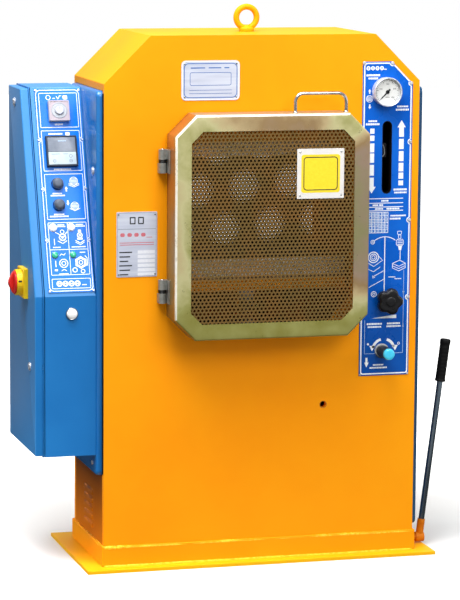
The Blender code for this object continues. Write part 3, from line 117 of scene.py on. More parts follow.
# Each finish: its real name, its colours, then the numbers that variedMaterial takes
finishRows = {
    # Roller-coated two-part enamel on steel plate: warm orange, a soft gloss, an orange-peel skin with lumps
    # of about 3 mm and a slightly cloudy depth of coat
    "orangeEnamel": ("orange enamel on steel", "#F99508 #FD9D09 #FFA40C", *rolledCoat, 0.16, 0.1),
    # The base plate gets a lighter, yellower copy of the enamel: painted light from the lamps above
    "litBaseEnamel": ("orange enamel, full coat on the base", "#FFB00C #FFBA10 #FFC216", *rolledCoat, 0.16,
                   0.15),
    # The side panels get a darker, redder copy of the enamel: painted shade, with a painted reflection of the
    # orange body
    "shadedPanelEnamel": ("orange enamel on thin panels", "#CC6A08 #D2700A #D8760C", *rolledCoat, 0.12, 0.08),
    # The same enamel on the inner parts, darker as painted shade inside the press, and duller
    "shadedInnerEnamel": ("orange enamel, heat dulled", "#8E4E0E #A05A10 #B06814", 9, 260, (0.45, 0.62), 0.10),
    # A darker copy of the enamel on the lever's small parts: painted shade
    "shadedLeverEnamel": ("orange enamel, thin coat", "#C8700C #D47A0E #DE8412", 30, 330, (0.42, 0.52), 0.10, 0.15),
    # Weld bead under the enamel, rough with stitch ripples, in a lighter yellow copy of the enamel: painted
    # light on the bead
    "litBeadEnamel": ("enamel over weld bead", "#FFB414 #FFC81E #FFD62C", 120, 900, (0.22, 0.34), 0.25),
    # Powder coat on folded sheet: mid blue, fine even pebble of about 1.5 mm, a satin that picks up the sky
    "blueEnamel": ("blue powder coat on folded sheet", "#1268AC #166FB6 #1C78BE", *powderCoat),
    # A lighter copy of the same blue, painted light, for the cabinet's door and the faces that look up
    "litBlueEnamel": ("blue powder coat, bleached by light", "#2E7ABA #327FC0 #3784C6", *powderCoat),
    # The cover beside the body has the same blue in a glossier coat, which mirrors the cabinet's light slope
    "coverEnamel": ("blue gloss enamel on the covers", "#0E62A8 #126AB2 #1872BA", 3.1, 620, (0.20, 0.28),
                    0.07, 0.7),
    # On the right cover a darker, flatter copy of the blue: painted shade beside the body
    "shadeEnamel": ("blue enamel, dulled", "#20466A #254E74 #2A567C", 3.1, 620, (0.4, 0.5), 0.07, 0.2),
    # Screen-printed and varnished aluminium plate: deep even blue, smooth and glossy
    "printedBlue": ("printed aluminium, varnished blue", "#0456BE #065EC8 #0A66D0", *printedSheet),
    # The cabinet's plate, on the slope, gets a lighter copy nearer to cyan: painted light from the lamps
    # above
    "litPrintedBlue": ("printed aluminium, varnished light blue", "#086AD0 #0A72DA #107AE2", *printedSheet),
    # Screen ink: opaque, slightly matt, a little uneven at the scale of the screen's mesh
    "whiteInk": ("white screen ink", "#EEF4FA #F8FBFE", *ink),
    "paleInk": ("pale blue screen ink", "#9DBDE6 #B4CDEE", *ink),
    "greyInk": ("grey screen ink", "#70798A #828B9B", *ink),
    "redInk": ("dull red screen ink", "#C0606C #CC7480", *ink),
    "fieldInk": ("pale grey screen ink", "#DDE1EC #E6E9F1", *ink),
    "navyInk": ("blue screen ink", "#2B5FA8 #356BB5", *ink),
    "rustInk": ("brown screen ink", "#A4604C #B5705A", *ink),
    "darkInk": ("black screen ink", "#15181C #22262B", 240, 1500, (0.40, 0.50), 0.01),
    "yellowInk": ("yellow screen ink", "#F2D21C #F8DC2C", 200, 1500, (0.38, 0.46), 0.01),
    # Bright zinc plate, clear passivated: light grey metal with a faint bluish cloud
    "brightZinc": ("bright zinc plated steel", "#A4A9AD #B9BDC0 #C8CBCC", 60, 900, (0.16, 0.30), 0.02, 0.5,
                   1.0),
    # Nickel plate on small turned parts: nearly white, with a soft gloss
    "brightNickel": ("satin nickel plate", "#C6CAD4 #D6DAE3 #E4E8EF", 60, 900, (0.22, 0.34), 0.02, 0.5, 0.5),
    # Zinc-plated hinge castings, duller and greyer
    "greyZinc": ("dull zinc plated hinge steel", "#7E807C #92948F #A3A49F", 90, 700, (0.34, 0.48), 0.05, 0.5,
                 0.45),
    # Turned and polished steel with fine turning marks
    "polishedSteel": ("polished steel", "#C6C9CB #DCDEDF", 40, 1200, (0.12, 0.2), 0.01, 0.5, 1.0),
    # Ground cast platen: brownish grey, heat-tinted, brushed along its length, and lighter and less metallic
    # as painted light behind the guard
    "groundSteel": ("ground steel, heat tinted", "#CFC6B4 #DED6C6 #E8E2D6", 14, 500, (0.42, 0.58), 0.04, 0.5,
                    0.2, (0.25, 1, 3)),
    # The same platen's working face, browned by baked rubber fumes and darker still as painted shade under
    # the upper platen, with an oily sheen
    "bakedShadedSteel": ("ground steel, browned by fumes", "#2C251C #3A3226 #463C2E", 18, 500, (0.34, 0.5), 0.03,
                   0.3, 0.4),
    # Wiped and blued steel of pump, cylinder and valve block
    "blackSteel": ("blackened machined steel", "#34373A #44484B #53575A", 30, 600, (0.35, 0.5), 0.05, 0.5,
                   0.8),
    # Cold-drawn lever rod: blue-grey, a dull lengthwise grain
    "drawnSteel": ("cold drawn steel rod", "#76889A #90A0AF #A8B5C0", 30, 700, (0.16, 0.26), 0.02, 0.5, 0.95,
                   (1, 1, 0.08)),
    # The door frame's upper folds: almost white, quite smooth, a painted highlight along the bends
    "highlightFold": ("zinc fold rubbed bright", "#E8E2CC #F4F0E0 #FAF8EE", 60, 900, (0.25, 0.35), 0.01, 0.5, 0.2),
    # Anodised foil plate: silver with a blue cast, satin brushed across its width
    "silverFoil": ("satin anodised foil", "#B8BFD2 #C4CADB #CED4E2", 26, 900, (0.34, 0.46), 0.01, 0.5, 0.1,
                   (0.3, 1, 4)),
    # Enamelled and printed white sheet: smooth, softly glossy
    "whiteSheet": ("white enamelled sheet", "#DDDAD7 #E8E5E1", 20, 700, (0.28, 0.38), 0.02),
    "whiteDial": ("white printed dial", "#F1F2EF #FAFAF8", 60, 900, (0.35, 0.42), 0.01),
    # Calcium silicate board: chalky, dull brown, granular
    "insulationBoard": ("calcium silicate board", "#75644C #8C7A60 #9A896E", 40, 800, (0.85, 0.95), 0.25),
    # Compression-moulded phenolic: deep black with a soft sheen
    "blackPhenolic": ("black moulded phenolic", "#0C0C0E #121215 #18181B", 70, 900, (0.24, 0.36), 0.05, 0.35),
    # Nitrile grip: black, matt, very fine grain
    "gripRubber": ("black moulded rubber", "#050506 #09090A #0D0D0E", 120, 1400, (0.5, 0.66), 0.08, 0.18),
    # Injection mouldings of instruments and switches: an even satin from a finely eroded mould
    "greyPlastic": ("light grey moulded ABS", "#B9BDBC #C8CBCA", 50, 1400, (0.38, 0.48), 0.03),
    "facePlastic": ("beige moulded ABS", "#A89CA6 #B4A8B0", 50, 1400, (0.38, 0.48), 0.03),
    "dialPlastic": ("pale grey anodised dial", "#A4A8AF #B2B6BC", 60, 1400, (0.30, 0.38), 0.01),
    "knobPlastic": ("pale lilac moulded ABS", "#BEC1CE #CACDD8", 60, 1400, (0.36, 0.44), 0.01),
    "darkPlastic": ("dark grey moulded ABS", "#15191D #1E2328", 60, 1400, (0.34, 0.46), 0.04, 0.3),
    "slatePlastic": ("slate moulded ABS", "#262E3C #303A4A", 60, 1400, (0.34, 0.46), 0.03, 0.3),
    "padPlastic": ("pale membrane keypad", "#AFC0C8 #C0D0D6", 70, 1400, (0.40, 0.50), 0.02),
    "buttonPlastic": ("slate moulded push button", "#485160 #565F6F", 90, 1200, (0.40, 0.52), 0.03, 0.35),
    "yellowPlastic": ("yellow moulded polyamide", "#F0C400 #FAD00C", 60, 1200, (0.34, 0.44), 0.04),
    "redPlastic": ("red moulded polyamide", "#C4150E #D81E14", 60, 1200, (0.28, 0.38), 0.03),
    # Acrylic caps and lenses: clean, bright, the tinted ones with a clear glossy skin
    "cyanPlastic": ("cyan acrylic cap", "#36C4EC #4ED2F4", 70, 900, (0.16, 0.24), 0.01, 0.5, 0.0, (1, 1, 1),
                    0.5),
    "whiteLens": ("white diffusing lens", "#FAFCFC #FFFFFF", 60, 900, (0.34, 0.40), 0.01),
    "greenLens": ("green diffusing lens", "#1BA47C #2CC096", 60, 900, (0.14, 0.20), 0.01, 0.5, 0.0, (1, 1, 1),
                  0.6),
    "displayGlass": ("smoked display window", "#6E7684 #7D8592", 60, 900, (0.16, 0.24), 0.005),
}
finishes = {name: variedMaterial(*row) for name, row in finishRows.items()}


# Painted shade: darkens a paint towards one height, full colour at the first height, the share "left" of it
# at the second
def addPaintedShade(material, brightHeight, shadedHeight, left):
    tree = material.node_tree
    axes = addNode(tree, "SeparateXYZ", links={"Vector": (tree.nodes["Texture Coordinate"], "Object")})
    share = addNode(tree, "MapRange", {"From Min": brightHeight, "From Max": shadedHeight, "To Min": 1.0, "To Max": left,
                                       "interpolation_type": "SMOOTHSTEP"}, {"Value": (axes, "Z")})
    colour = tree.nodes["Principled BSDF"].inputs["Base Color"]
    dim = addNode(tree, "VectorMath", {"operation": "SCALE"}, {"Scale": (share, "Result")})
    tree.links.new(colour.links[0].from_socket, dim.inputs[0])
    tree.links.new(dim.outputs[0], colour)


# Painted shade: the side panels darker towards their tops, under the cabinet
addPaintedShade(finishes["shadedPanelEnamel"], 0.04, 0.23, 0.26)
# Painted shade: the right control plate darker towards its foot, away from the lamps above
addPaintedShade(finishes["printedBlue"], 0.66, 0.47, 0.66)


# Chromated zinc: an iridescent film, olive green with tan and pink clouds. "panelTint", written on the folded
# frame, sets the film's mean thickness from place to place, and on the door's walls a painted reflection;
# where it isn't written, the middle is used.
def chromateMaterial(name, stops, gloss, metallic, middle=0.0):
    material, tree, shader, coords = startMaterial(name, {"Metallic": metallic, "Specular IOR Level": 0.35})
    tint = addNode(tree, "Attribute", {"attribute_name": "panelTint"})
    noises = ({"Scale": 8.0, "Detail": 3.0, "Distortion": 0.8},
              {"Scale": 34.0, "Detail": 5.0, "Roughness": 0.6},
              {"Scale": 900.0, "Detail": 2.0})
    broad, wisps, spangle = [addNode(tree, "TexNoise", noise, {"Vector": (coords, "Object")})
                             for noise in noises]
    soft = addNode(tree, "Math", {"operation": "MULTIPLY_ADD", 1: 0.24, 2: middle - 0.37},
                   {0: (wisps, "Fac")})
    mixed = addNode(tree, "Math", {"operation": "MULTIPLY_ADD", 1: 0.50}, {0: (broad, "Fac"), 2: (soft, 0)})
    film = addNode(tree, "Math", {"operation": "ADD"}, {0: (mixed, 0), 1: (tint, "Fac")})
    colour = addNode(tree, "ValToRGB", {"stops": stops}, {"Fac": (film, 0)})
    linkSurface(tree, shader, colour, wisps, gloss, spangle, 0.5, 0.04)
    return material


finishes["chromate"] = chromateMaterial("yellow chromated zinc sheet", [
    (0.0, "#8E8A42"), (0.20, "#A6A462"), (0.35, "#CEC894"), (0.50, "#C6B084"), (0.65, "#A0845C"),
    (0.82, "#A28C78"), (1.0, "#928C64")], (0.26, 0.42), 0.45)
# The door's left walls: a browner copy of the film that takes up the body's orange, painted reflection and
# shade
finishes["chromateWallReflection"] = chromateMaterial("chromated zinc wall, painted reflection", [
    (0.0, "#8A7C4E"), (0.3, "#94804E"), (0.6, "#A8743C"), (1.0, "#AC6C32")], (0.3, 0.42), 0.4)
finishes["chromateMesh"] = chromateMaterial("chromated perforated sheet", [
    (0.0, "#5A4A22"), (0.4, "#6E5629"), (0.6, "#7C5624"), (1.0, "#5C3C1A")], (0.42, 0.58), 0.3, 0.45)


# Clear glass: thin, so that the dial below shows straight through its faint sheen
def glassMaterial():
    material, tree, shader, coords = startMaterial("float glass", {
        "Alpha": 0.05, "IOR": 1.45, "Base Color": (0.03, 0.04, 0.04, 1)})
    smear = addNode(tree, "TexNoise", {"Scale": 50.0}, {"Vector": (coords, "Object")})
    rough = addNode(tree, "MapRange", {"To Min": 0.0, "To Max": 0.04}, {"Value": (smear, "Fac")})
    tree.links.new(rough.outputs["Result"], shader.inputs["Roughness"])
    return material


finishes["clearGlass"] = glassMaterial()
print("materials made:", len(bpy.data.materials))


# Shapes

# Each surface's starting point and axes: a to the right and b up as one looks at it, c out of it. The
# cabinet's slope starts at its knee, and the hand lever's leaning line at its foot, with c along it.
slopeSizes = {"front": -142, "knee": 636, "top": 1099, "run": 163}
slopeTurn = np.arctan2(slopeSizes["run"], slopeSizes["top"] - slopeSizes["knee"])
leverLean = np.radians(7)
surfaces = {
    "front": ((0, 0, 0), (1, 0, 0), (0, 0, 1), (0, -1, 0)),
    "rear": ((0, 0, 0), (-1, 0, 0), (0, 0, 1), (0, 1, 0)),
    "left": ((0, 0, 0), (0, -1, 0), (0, 0, 1), (-1, 0, 0)),
    "right": ((0, 0, 0), (0, 1, 0), (0, 0, 1), (1, 0, 0)),
    "plan": ((0, 0, 0), (1, 0, 0), (0, 1, 0), (0, 0, 1)),
    "slope": ((0, slopeSizes["front"], slopeSizes["knee"]), (1, 0, 0),
              (0, np.sin(slopeTurn), np.cos(slopeTurn)),
              (0, -np.cos(slopeTurn), np.sin(slopeTurn))),
    "lever": ((412, -108, 23), (np.cos(leverLean), 0, -np.sin(leverLean)), (0, 1, 0),
              (np.sin(leverLean), 0, np.cos(leverLean))),
}


# Moves a place's origin along its own axes
def moved(where, a=0.0, b=0.0, c=0.0):
    origin, axes = where
    return origin + np.array([a, b, c]) @ axes, axes


# A surface's point as a place: origin and axes
def on(surface, a=0.0, b=0.0, c=0.0):
    start = np.array(surfaces[surface], float)
    return moved((start[0], start[1:]), a, b, c)


# Local points to the shared frame
def put(points, where):
    origin, axes = where
    return np.asarray(points, float) @ axes + origin


# Vectors over their own lengths
def unit(vectors):
    return vectors / np.linalg.norm(vectors, axis=-1, keepdims=True)


# A grid of points' numbers as four-cornered faces between each row and the next
def gridFaces(index):
    return np.stack([index[:-1, :-1], index[:-1, 1:], index[1:, 1:], index[1:, :-1]], -1)


# Rings of points, shape (rings, around, 3), joined by quads. Ends are capped by one face each, or the
# last ring is joined to the first. Returns points and a list of faces.
def ringSurface(rings, joined=False):
    count, around, _ = rings.shape
    index = np.arange(count * around).reshape(count, around)
    rows = np.vstack([index, index[:1]]) if joined else index
    quads = gridFaces(np.hstack([rows, rows[:, :1]])).reshape(-1, 4).tolist()
    if not joined:
        quads += [index[0, ::-1].tolist(), index[-1].tolist()]
    return rings.reshape(-1, 3), quads


# A sheet between two grids of points, shape (rows, columns, 3): the front, the back reversed, and a strip
# round the rim
def slabSurface(front, back):
    rows, columns, _ = front.shape
    index = np.arange(rows * columns).reshape(rows, columns)
    quads = gridFaces(index).reshape(-1, 4)
    rim = np.concatenate([index[0, :-1], index[:-1, -1], index[-1, :0:-1], index[:0:-1, 0]])
    shift = rows * columns
    strip = np.stack([rim, np.roll(rim, -1), np.roll(rim, -1) + shift, rim + shift], -1)
    faces = np.vstack([quads, quads[:, ::-1] + shift, strip]).tolist()
    return np.vstack([front.reshape(-1, 3), back.reshape(-1, 3)]), faces


# A slab from its local grids: places in the surface, shape (rows, columns, 2), and two heights over them
def reliefShape(flat, rise, under, where):
    return slabSurface(*[put(np.dstack([flat, height]), where) for height in (rise, under)])


# A circle's points, or any arc's, as (count, 2)
def arcPoints(centre, radius, start, turn, count, closed=False):
    angles = start + turn * np.arange(count) / (count if closed else count - 1)
    return np.stack([centre[0] + radius * np.cos(angles), centre[1] + radius * np.sin(angles)], -1)


# A full circle, without its last point, which would repeat the first
def circlePoints(centre, radius, count=32):
    return arcPoints(centre, radius, 0, 2 * np.pi, count, True)


# A rectangle about a centre with its corners rounded by arcs
def roundedRectangle(centre, width, height, radius, steps=5):
    corners = [(-1, -1, np.pi), (1, -1, 1.5 * np.pi), (1, 1, 0), (-1, 1, 0.5 * np.pi)]
    return np.vstack([arcPoints((centre[0] + sx * (width / 2 - radius),
                                 centre[1] + sy * (height / 2 - radius)),
                                radius, start, np.pi / 2, steps) for sx, sy, start in corners])


# A rectangle from its edges with its corners cut at 45 degrees
def cutRectangle(left, right, low, high, cut):
    return np.array([(left + cut, low), (right - cut, low), (right, low + cut), (right, high - cut),
                     (right - cut, high), (left + cut, high), (left, high - cut), (left, low + cut)])


# A closed anticlockwise outline moved inwards: each corner goes along the sum of its two edges' normals
def insetOutline(outline, distance):
    edge = unit(np.roll(outline, -1, 0) - outline)
    after = np.stack([-edge[:, 1], edge[:, 0]], -1)
    before = np.roll(after, 1, 0)
    return outline + distance / (1 + (before * after).sum(1, keepdims=True)) * (before + after)


# Corners of an outline rounded: each gives way to points on a quadratic curve that starts and ends at
# "reach" from it along its edges
def softenedOutline(outline, reach, steps=4):
    start, end = [outline + reach * unit(np.roll(outline, step, 0) - outline) for step in (1, -1)]
    t = np.linspace(0, 1, steps)[None, :, None]
    curve = (1 - t) ** 2 * start[:, None] + 2 * t * (1 - t) * outline[:, None] + t ** 2 * end[:, None]
    return curve.reshape(-1, 2)


# Plane points with one height as their third number
def atHeight(outline, c):
    return np.column_stack([outline, np.full(len(outline), c)])


# An outline carried along a section: each ring is the outline moved inwards by a step, at its height
def outlineRings(outline, section):
    return np.stack([atHeight(insetOutline(outline, inset) if inset else outline, c) for inset, c in section])


# A flat shape with straight walls
def plateShape(outline, low, high, where):
    return ringSurface(put(outlineRings(outline, [(0, low), (0, high)]), where))


# A flat shape whose upper edge is rounded by a quarter circle of the given radius
def pillowShape(outline, low, high, radius, where, steps=5):
    turns = np.linspace(0, np.pi / 2, steps)
    edge = list(zip(radius * (1 - np.cos(turns)), high - radius * (1 - np.sin(turns))))
    return ringSurface(put(outlineRings(outline, [(0, low)] + edge), where))


# A frame: the space between an outline and the same outline moved inwards by the line's width
def frameShape(outline, line, low, high, where):
    section = [(0, low), (0, high), (line, high), (line, low)]
    return ringSurface(put(outlineRings(outline, section), where), True)


# The section of a folded sheet: a quarter circle from the face to the wall, down the wall, and back on the
# sheet's inner side. Numbers are the step inwards and the height, which is below the face.
def foldSection(depth, sheet, bend, wall=(), steps=7):
    turns = np.linspace(0, np.pi / 2, steps)
    outer, inner = [list(zip(edge + radius * (1 - np.sin(turn)), -edge - radius * (1 - np.cos(turn))))
                    for edge, radius, turn in ((0, bend, turns), (sheet, bend - sheet, turns[::-1]))]
    return outer + [(0, -height) for height in wall] + [(0, -depth), (sheet, -depth)] + inner


# A turned piece: profile points are radius and height, carried round the place's c axis. A third number is
# the share of a wave round the axis, given as a function of the angle, that is taken off the radius.
def turnedShape(profile, where, around=40, joined=False, wave=np.zeros_like):
    profile = np.array([(*point, 0)[:3] for point in profile], float)
    angles = 2 * np.pi * np.arange(around) / around
    reach = profile[:, :1] * (1 - profile[:, 2:] * wave(angles))
    rings = np.stack([reach * np.cos(angles), reach * np.sin(angles), np.repeat(profile[:, 1:2], around, 1)],
                     -1)
    return ringSurface(put(rings, where), joined)


# A dome's profile: a quarter ellipse from its rim to near its top
def domeProfile(radius, height, base=0.0, steps=8):
    turns = np.linspace(0, np.pi / 2 * 0.97, steps)
    return list(zip(radius * np.cos(turns), base + height * np.sin(turns)))


# A round rod along a plane line: each ring lies across the line's direction there. The line is (n, 3),
# "flat" is the normal of its plane, radius may be one number or one for each point.
def rodShape(line, radius, flat, around=16, joined=False):
    line = np.asarray(line, float)
    ahead = unit(np.roll(line, -1, 0) - np.roll(line, 1, 0) if joined else np.gradient(line, axis=0))
    side = np.broadcast_to(np.array(flat, float), line.shape)
    angles = 2 * np.pi * np.arange(around)[None, :, None] / around
    reach = np.broadcast_to(np.asarray(radius, float), len(line))[:, None, None]
    across = np.cos(angles) * side[:, None] + np.sin(angles) * np.cross(ahead, side)[:, None]
    return ringSurface(line[:, None] + reach * across, joined)


# A line of the plate's plane drawn with a width: the line moved to both sides, given a thickness
def strokeShape(line, width, low, high, where):
    line = np.asarray(line, float)
    ahead = unit(np.gradient(line, axis=0))
    side = np.stack([-ahead[:, 1], ahead[:, 0]], -1) * width / 2
    corners = [atHeight(line + sign * side, c) for sign, c in ((1, low), (-1, low), (-1, high), (1, high))]
    return ringSurface(put(np.stack(corners, 1), where))


# A slotted screw head: a low drum with two half domes that leave the driver's slot between them
def slottedHead(radius, height, where, turnDegrees=0.0, slotShare=0.16):
    shapes = [turnedShape([(radius * 0.97, 0), (radius, height * 0.15), (radius * 0.98, height * 0.55)],
                          where, 24)]
    start = np.arcsin(slotShare / 0.96)
    for side in (0, np.pi):
        outline = arcPoints((0, 0), radius * 0.96, side + start + np.radians(turnDegrees), np.pi - 2 * start,
                            14)
        middle = outline.mean(0)
        rings = [atHeight(middle + (outline - middle) * share, height * level)
                 for share, level in ((1, 0.5), (1, 0.72), (0.9, 0.92), (0.72, 1))]
        shapes.append(ringSurface(put(np.stack(rings), where)))
    return shapes


# Screws at several spots of a surface: each is a, b and the turn of its slot
def screwHeads(spots, radius, height, where):
    return [shape for a, b, turn in spots for shape in slottedHead(radius, height, moved(where, a, b), turn)]


# The four corners of a rectangle about the place's origin, as (a, b)
def fourCorners(a, b):
    return [(sideA * a, sideB * b) for sideA in (-1, 1) for sideB in (-1, 1)]


# Opens a mesh for an edit, which the given steps make, and writes it back
def editMesh(mesh, *steps):
    shell = bmesh.new()
    shell.from_mesh(mesh)
    for step in steps:
        step(shell)
    shell.to_mesh(mesh)
    shell.free()


# Turns all faces to look outwards
def faceOutwards(shell):
    bmesh.ops.recalc_face_normals(shell, faces=shell.faces)


# Deletes the points that no face uses
def dropLoosePoints(shell):
    bmesh.ops.delete(shell, geom=[corner for corner in shell.verts if not corner.link_faces], context="VERTS")


# Points in millimetres and faces to a named object in metres, not yet on any body
def makeMesh(name, points, faces, materials):
    mesh = bpy.data.meshes.new(name)
    mesh.from_pydata((points / 1000).tolist(), [], faces)
    for material in materials:
        mesh.materials.append(finishes[material])
    piece = bpy.data.objects.new(name, mesh)
    bpy.context.scene.collection.objects.link(piece)
    return piece


# Breaks the edges sharper than 32 degrees by a rounded strip of the given width
def addBevel(piece, widthMm):
    bevel = piece.modifiers.new("softEdges", "BEVEL")
    bevel.width = widthMm / 1000
    bevel.segments = 2
    bevel.limit_method = "ANGLE"
    bevel.angle_limit = np.radians(32)
    bevel.harden_normals = True


# Puts finished shapes, each (points, faces), into the scene as one piece that rides on a body. "groups" gives
# each finish its shapes; smoothing breaks at the given angle; a bevel may soften what stays sharp.
def addPiece(name, body, groups, replaces=(), breakAngle=32, bevelMm=0.0, steps=(faceOutwards,)):
    points = []
    faces = []
    kinds = []
    start = 0
    for number, shapes in enumerate(groups.values()):
        for shapePoints, shapeFaces in shapes:
            points.append(shapePoints)
            faces += [[corner + start for corner in face] for face in shapeFaces]
            kinds += [number] * len(shapeFaces)
            start += len(shapePoints)
    piece = makeMesh(name, np.vstack(points), faces, groups)
    mesh = piece.data
    mesh.polygons.foreach_set("material_index", np.array(kinds, np.int32))
    editMesh(mesh, *steps)
    mesh.shade_smooth()
    mesh.set_sharp_from_angle(angle=np.radians(breakAngle))
    if bevelMm:
        addBevel(piece, bevelMm)
    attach(piece, body)
    if replaces:
        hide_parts(*replaces)
    return piece


# CAD nodes that stay

# Gives the faces that look along a direction, by more than a limit, a second finish
def finishFacing(mesh, finish, direction, limit):
    mesh.materials.append(finishes[finish])
    facing = np.empty(len(mesh.polygons) * 3)
    mesh.polygons.foreach_get("normal", facing)
    mesh.polygons.foreach_set("material_index", (facing.reshape(-1, 3) @ direction > limit).astype(np.int32))


# Each finish with its kept nodes, and how far their edges are broken, in millimetres
keptNodes = {
    "litBaseEnamel": {"base_plate": 0.6},
    "orangeEnamel": {"plinth": 3.0, "front_plate": 1.1, "rear_plate": 1.1, "top_cover": 0.8,
                     "lower_bolster": 1.2},
    "shadedPanelEnamel": {"left_lower_panel": 0.6, "right_lower_panel": 0.6},
    "shadedInnerEnamel": {"throat_lining": 1.0, "upper_crosshead": 1.0},
    "insulationBoard": {"upper_insulation": 0.5, "lower_insulation": 0.5},
    "groundSteel": {"upper_platen": 0.8, "lower_platen": 0.8},
    "blackSteel": {"hydraulic_cylinder": 0.8, "valve_block": 0.8, "hand_pump": 1.0},
    "polishedSteel": {"ram": 0.6, "pump_plunger": 0.4},
    "printedBlue": {"right_control_plate": 0.3},
    "litPrintedBlue": {"left_control_plate": 0.3},
    "silverFoil": {"name_plate": 0.2, "data_plate": 0.2},
    "whiteSheet": {"sign_plate": 0.2},
    "blueEnamel": {"cabinet_body": 0.6},
    "greyPlastic": {"timer_body": 0.9},
    "darkPlastic": {"temperature_controller": 0.9, "white_lamp_pair": 0.3, "green_lamp_pair": 0.3},
    "greyZinc": {"mounting_plate": 0.4, "hinge_block_upper": 0.5, "hinge_block_lower": 0.5,
                 "hinge_leaf_upper": 0.4, "hinge_leaf_lower": 0.4},
    "blackPhenolic": {"travel_pointer": 0.5},
    "shadedLeverEnamel": {"lever_socket": 0.8},
    "yellowPlastic": {"main_switch_base": 0.9},
}
for finish, edges in keptNodes.items():
    for name, edgeMm in edges.items():
        node = nodes[name]
        node.data.materials.clear()
        node.data.materials.append(finishes[finish])
        weld = node.modifiers.new("joinTriangles", "WELD")
        weld.merge_threshold = 0.00002
        flat = node.modifiers.new("flatFaces", "DECIMATE")
        flat.decimate_type = "DISSOLVE"
        flat.angle_limit = np.radians(0.4)
        addBevel(node, edgeMm)
# Painted light and shade by facing: the lower platen's upward faces get the dark browned steel, the cabinet
# body's upward faces the lighter blue
finishFacing(nodes["lower_platen"].data, "bakedShadedSteel", (0, 0, 1), 0.9)
finishFacing(nodes["cabinet_body"].data, "litBlueEnamel", (0, 0, 1), 0.2)
print("kept nodes finished:", sum(len(edges) for edges in keptNodes.values()))


# Guard door

# "film" is the chromate film's thickness by the angle round the frame, in degrees from the right
doorSettings = {
    "edges": (-229.5, 229.5, 539, 1051.5), "cut": 48.5, "face": 246.7, "rim": 169, "sheet": 2, "bend": 4.5,
    "border": 37, "columns": 14,
    "film": [(0, 0.90), (36, 0.86), (45, 0.24), (54, 0.26), (64, 0.60), (90, 0.66), (112, 0.62), (124, 0.36),
             (135, 0.32), (147, 0.36), (180, 0.44), (212, 0.34), (225, 0.16), (270, 0.06), (312, 0.04),
             (324, 0.30), (336, 0.84), (360, 0.90)],
}


# A folded frame, carried round the octagon: the section starts inside the border, runs out over the face,
# turns round the fold by a quarter circle, goes back along the wall, and returns on the sheet's inner side.
# The folds that face up and left carry a painted highlight. The film's tint follows the angle round the frame
# and changes a little across the border; on the walls it rises with height as a painted reflection of the
# orange body.
def doorFrame():
    s = doorSettings
    outline = cutRectangle(*s["edges"], s["cut"])
    depth = s["face"] - s["rim"]
    bend, border = s["bend"], s["border"]
    wall = [depth * share + bend * (1 - share) for share in (0.33, 0.67)]
    section = [(border * share + bend * (1 - share), 0) for share in (1, 0.67, 0.33)]
    foldStart = len(section)
    section += foldSection(depth, s["sheet"], bend, wall) + [(border, -s["sheet"])]
    foldEnd = foldStart + 6
    points = put(outlineRings(outline, section), on("front", 0, 0, s["face"]))
    middle = points.reshape(-1, 3).mean(0)
    index = np.arange(len(section) * s["columns"]).reshape(len(section), -1)
    quads = gridFaces(np.vstack([index, index[:1]]))
    row = np.arange(len(section))
    groups = {"chromate": [], "highlightFold": [], "chromateWallReflection": []}
    for side in range(8):
        start, end = points[:, side], points[:, (side + 1) % 8]
        strip = start[:, None] + (end - start)[:, None] * np.linspace(0, 1, s["columns"])[None, :, None]
        away = strip[foldStart].mean(0) - middle
        upLeft = (away[2] / 256 - away[0] / 229.5) > 0.7
        # Painted highlight on the folds that face up and left; the left walls' rows get the painted
        # reflection
        bright = (row >= foldStart) & (row < foldEnd) & upLeft
        shaded = (row >= foldEnd) & (row < foldEnd + 3) & (away[0] < -100)
        for shapes, chosen in zip(groups.values(), (~(bright | shaded), bright, shaded)):
            if chosen.any():
                shapes.append((strip.reshape(-1, 3), quads[chosen].reshape(-1, 4).tolist()))
    mesh = addPiece("doorFrame", "guard_door", groups, ["door_frame"], steps=()).data
    editMesh(mesh, lambda shell: bmesh.ops.remove_doubles(shell, verts=shell.verts, dist=0.000005),
             dropLoosePoints, faceOutwards)
    spots = np.empty(len(mesh.vertices) * 3)
    mesh.vertices.foreach_get("co", spots)
    right, back, up = (spots.reshape(-1, 3) * 1000 - middle).T
    halfWidth, halfHeight = 229.5, 256.25
    angle = np.degrees(np.arctan2(up / halfHeight, right / halfWidth)) % 360
    across = np.clip(np.minimum(halfWidth - np.abs(right), halfHeight - np.abs(up)) / border, 0, 1)
    tint = np.interp(angle, *zip(*s["film"])) + 0.12 * np.cos(np.radians(angle)) * across
    # Painted reflection: on the walls the tint rises with height, towards the orange of the body
    tint = np.where(back + middle[1] > bend * 1.5 - s["face"], 0.40 + 0.45 * up / halfHeight, tint)
    mesh.attributes.new("panelTint", "FLOAT", "POINT").data.foreach_set("value", tint.astype(np.float32))
    return outline


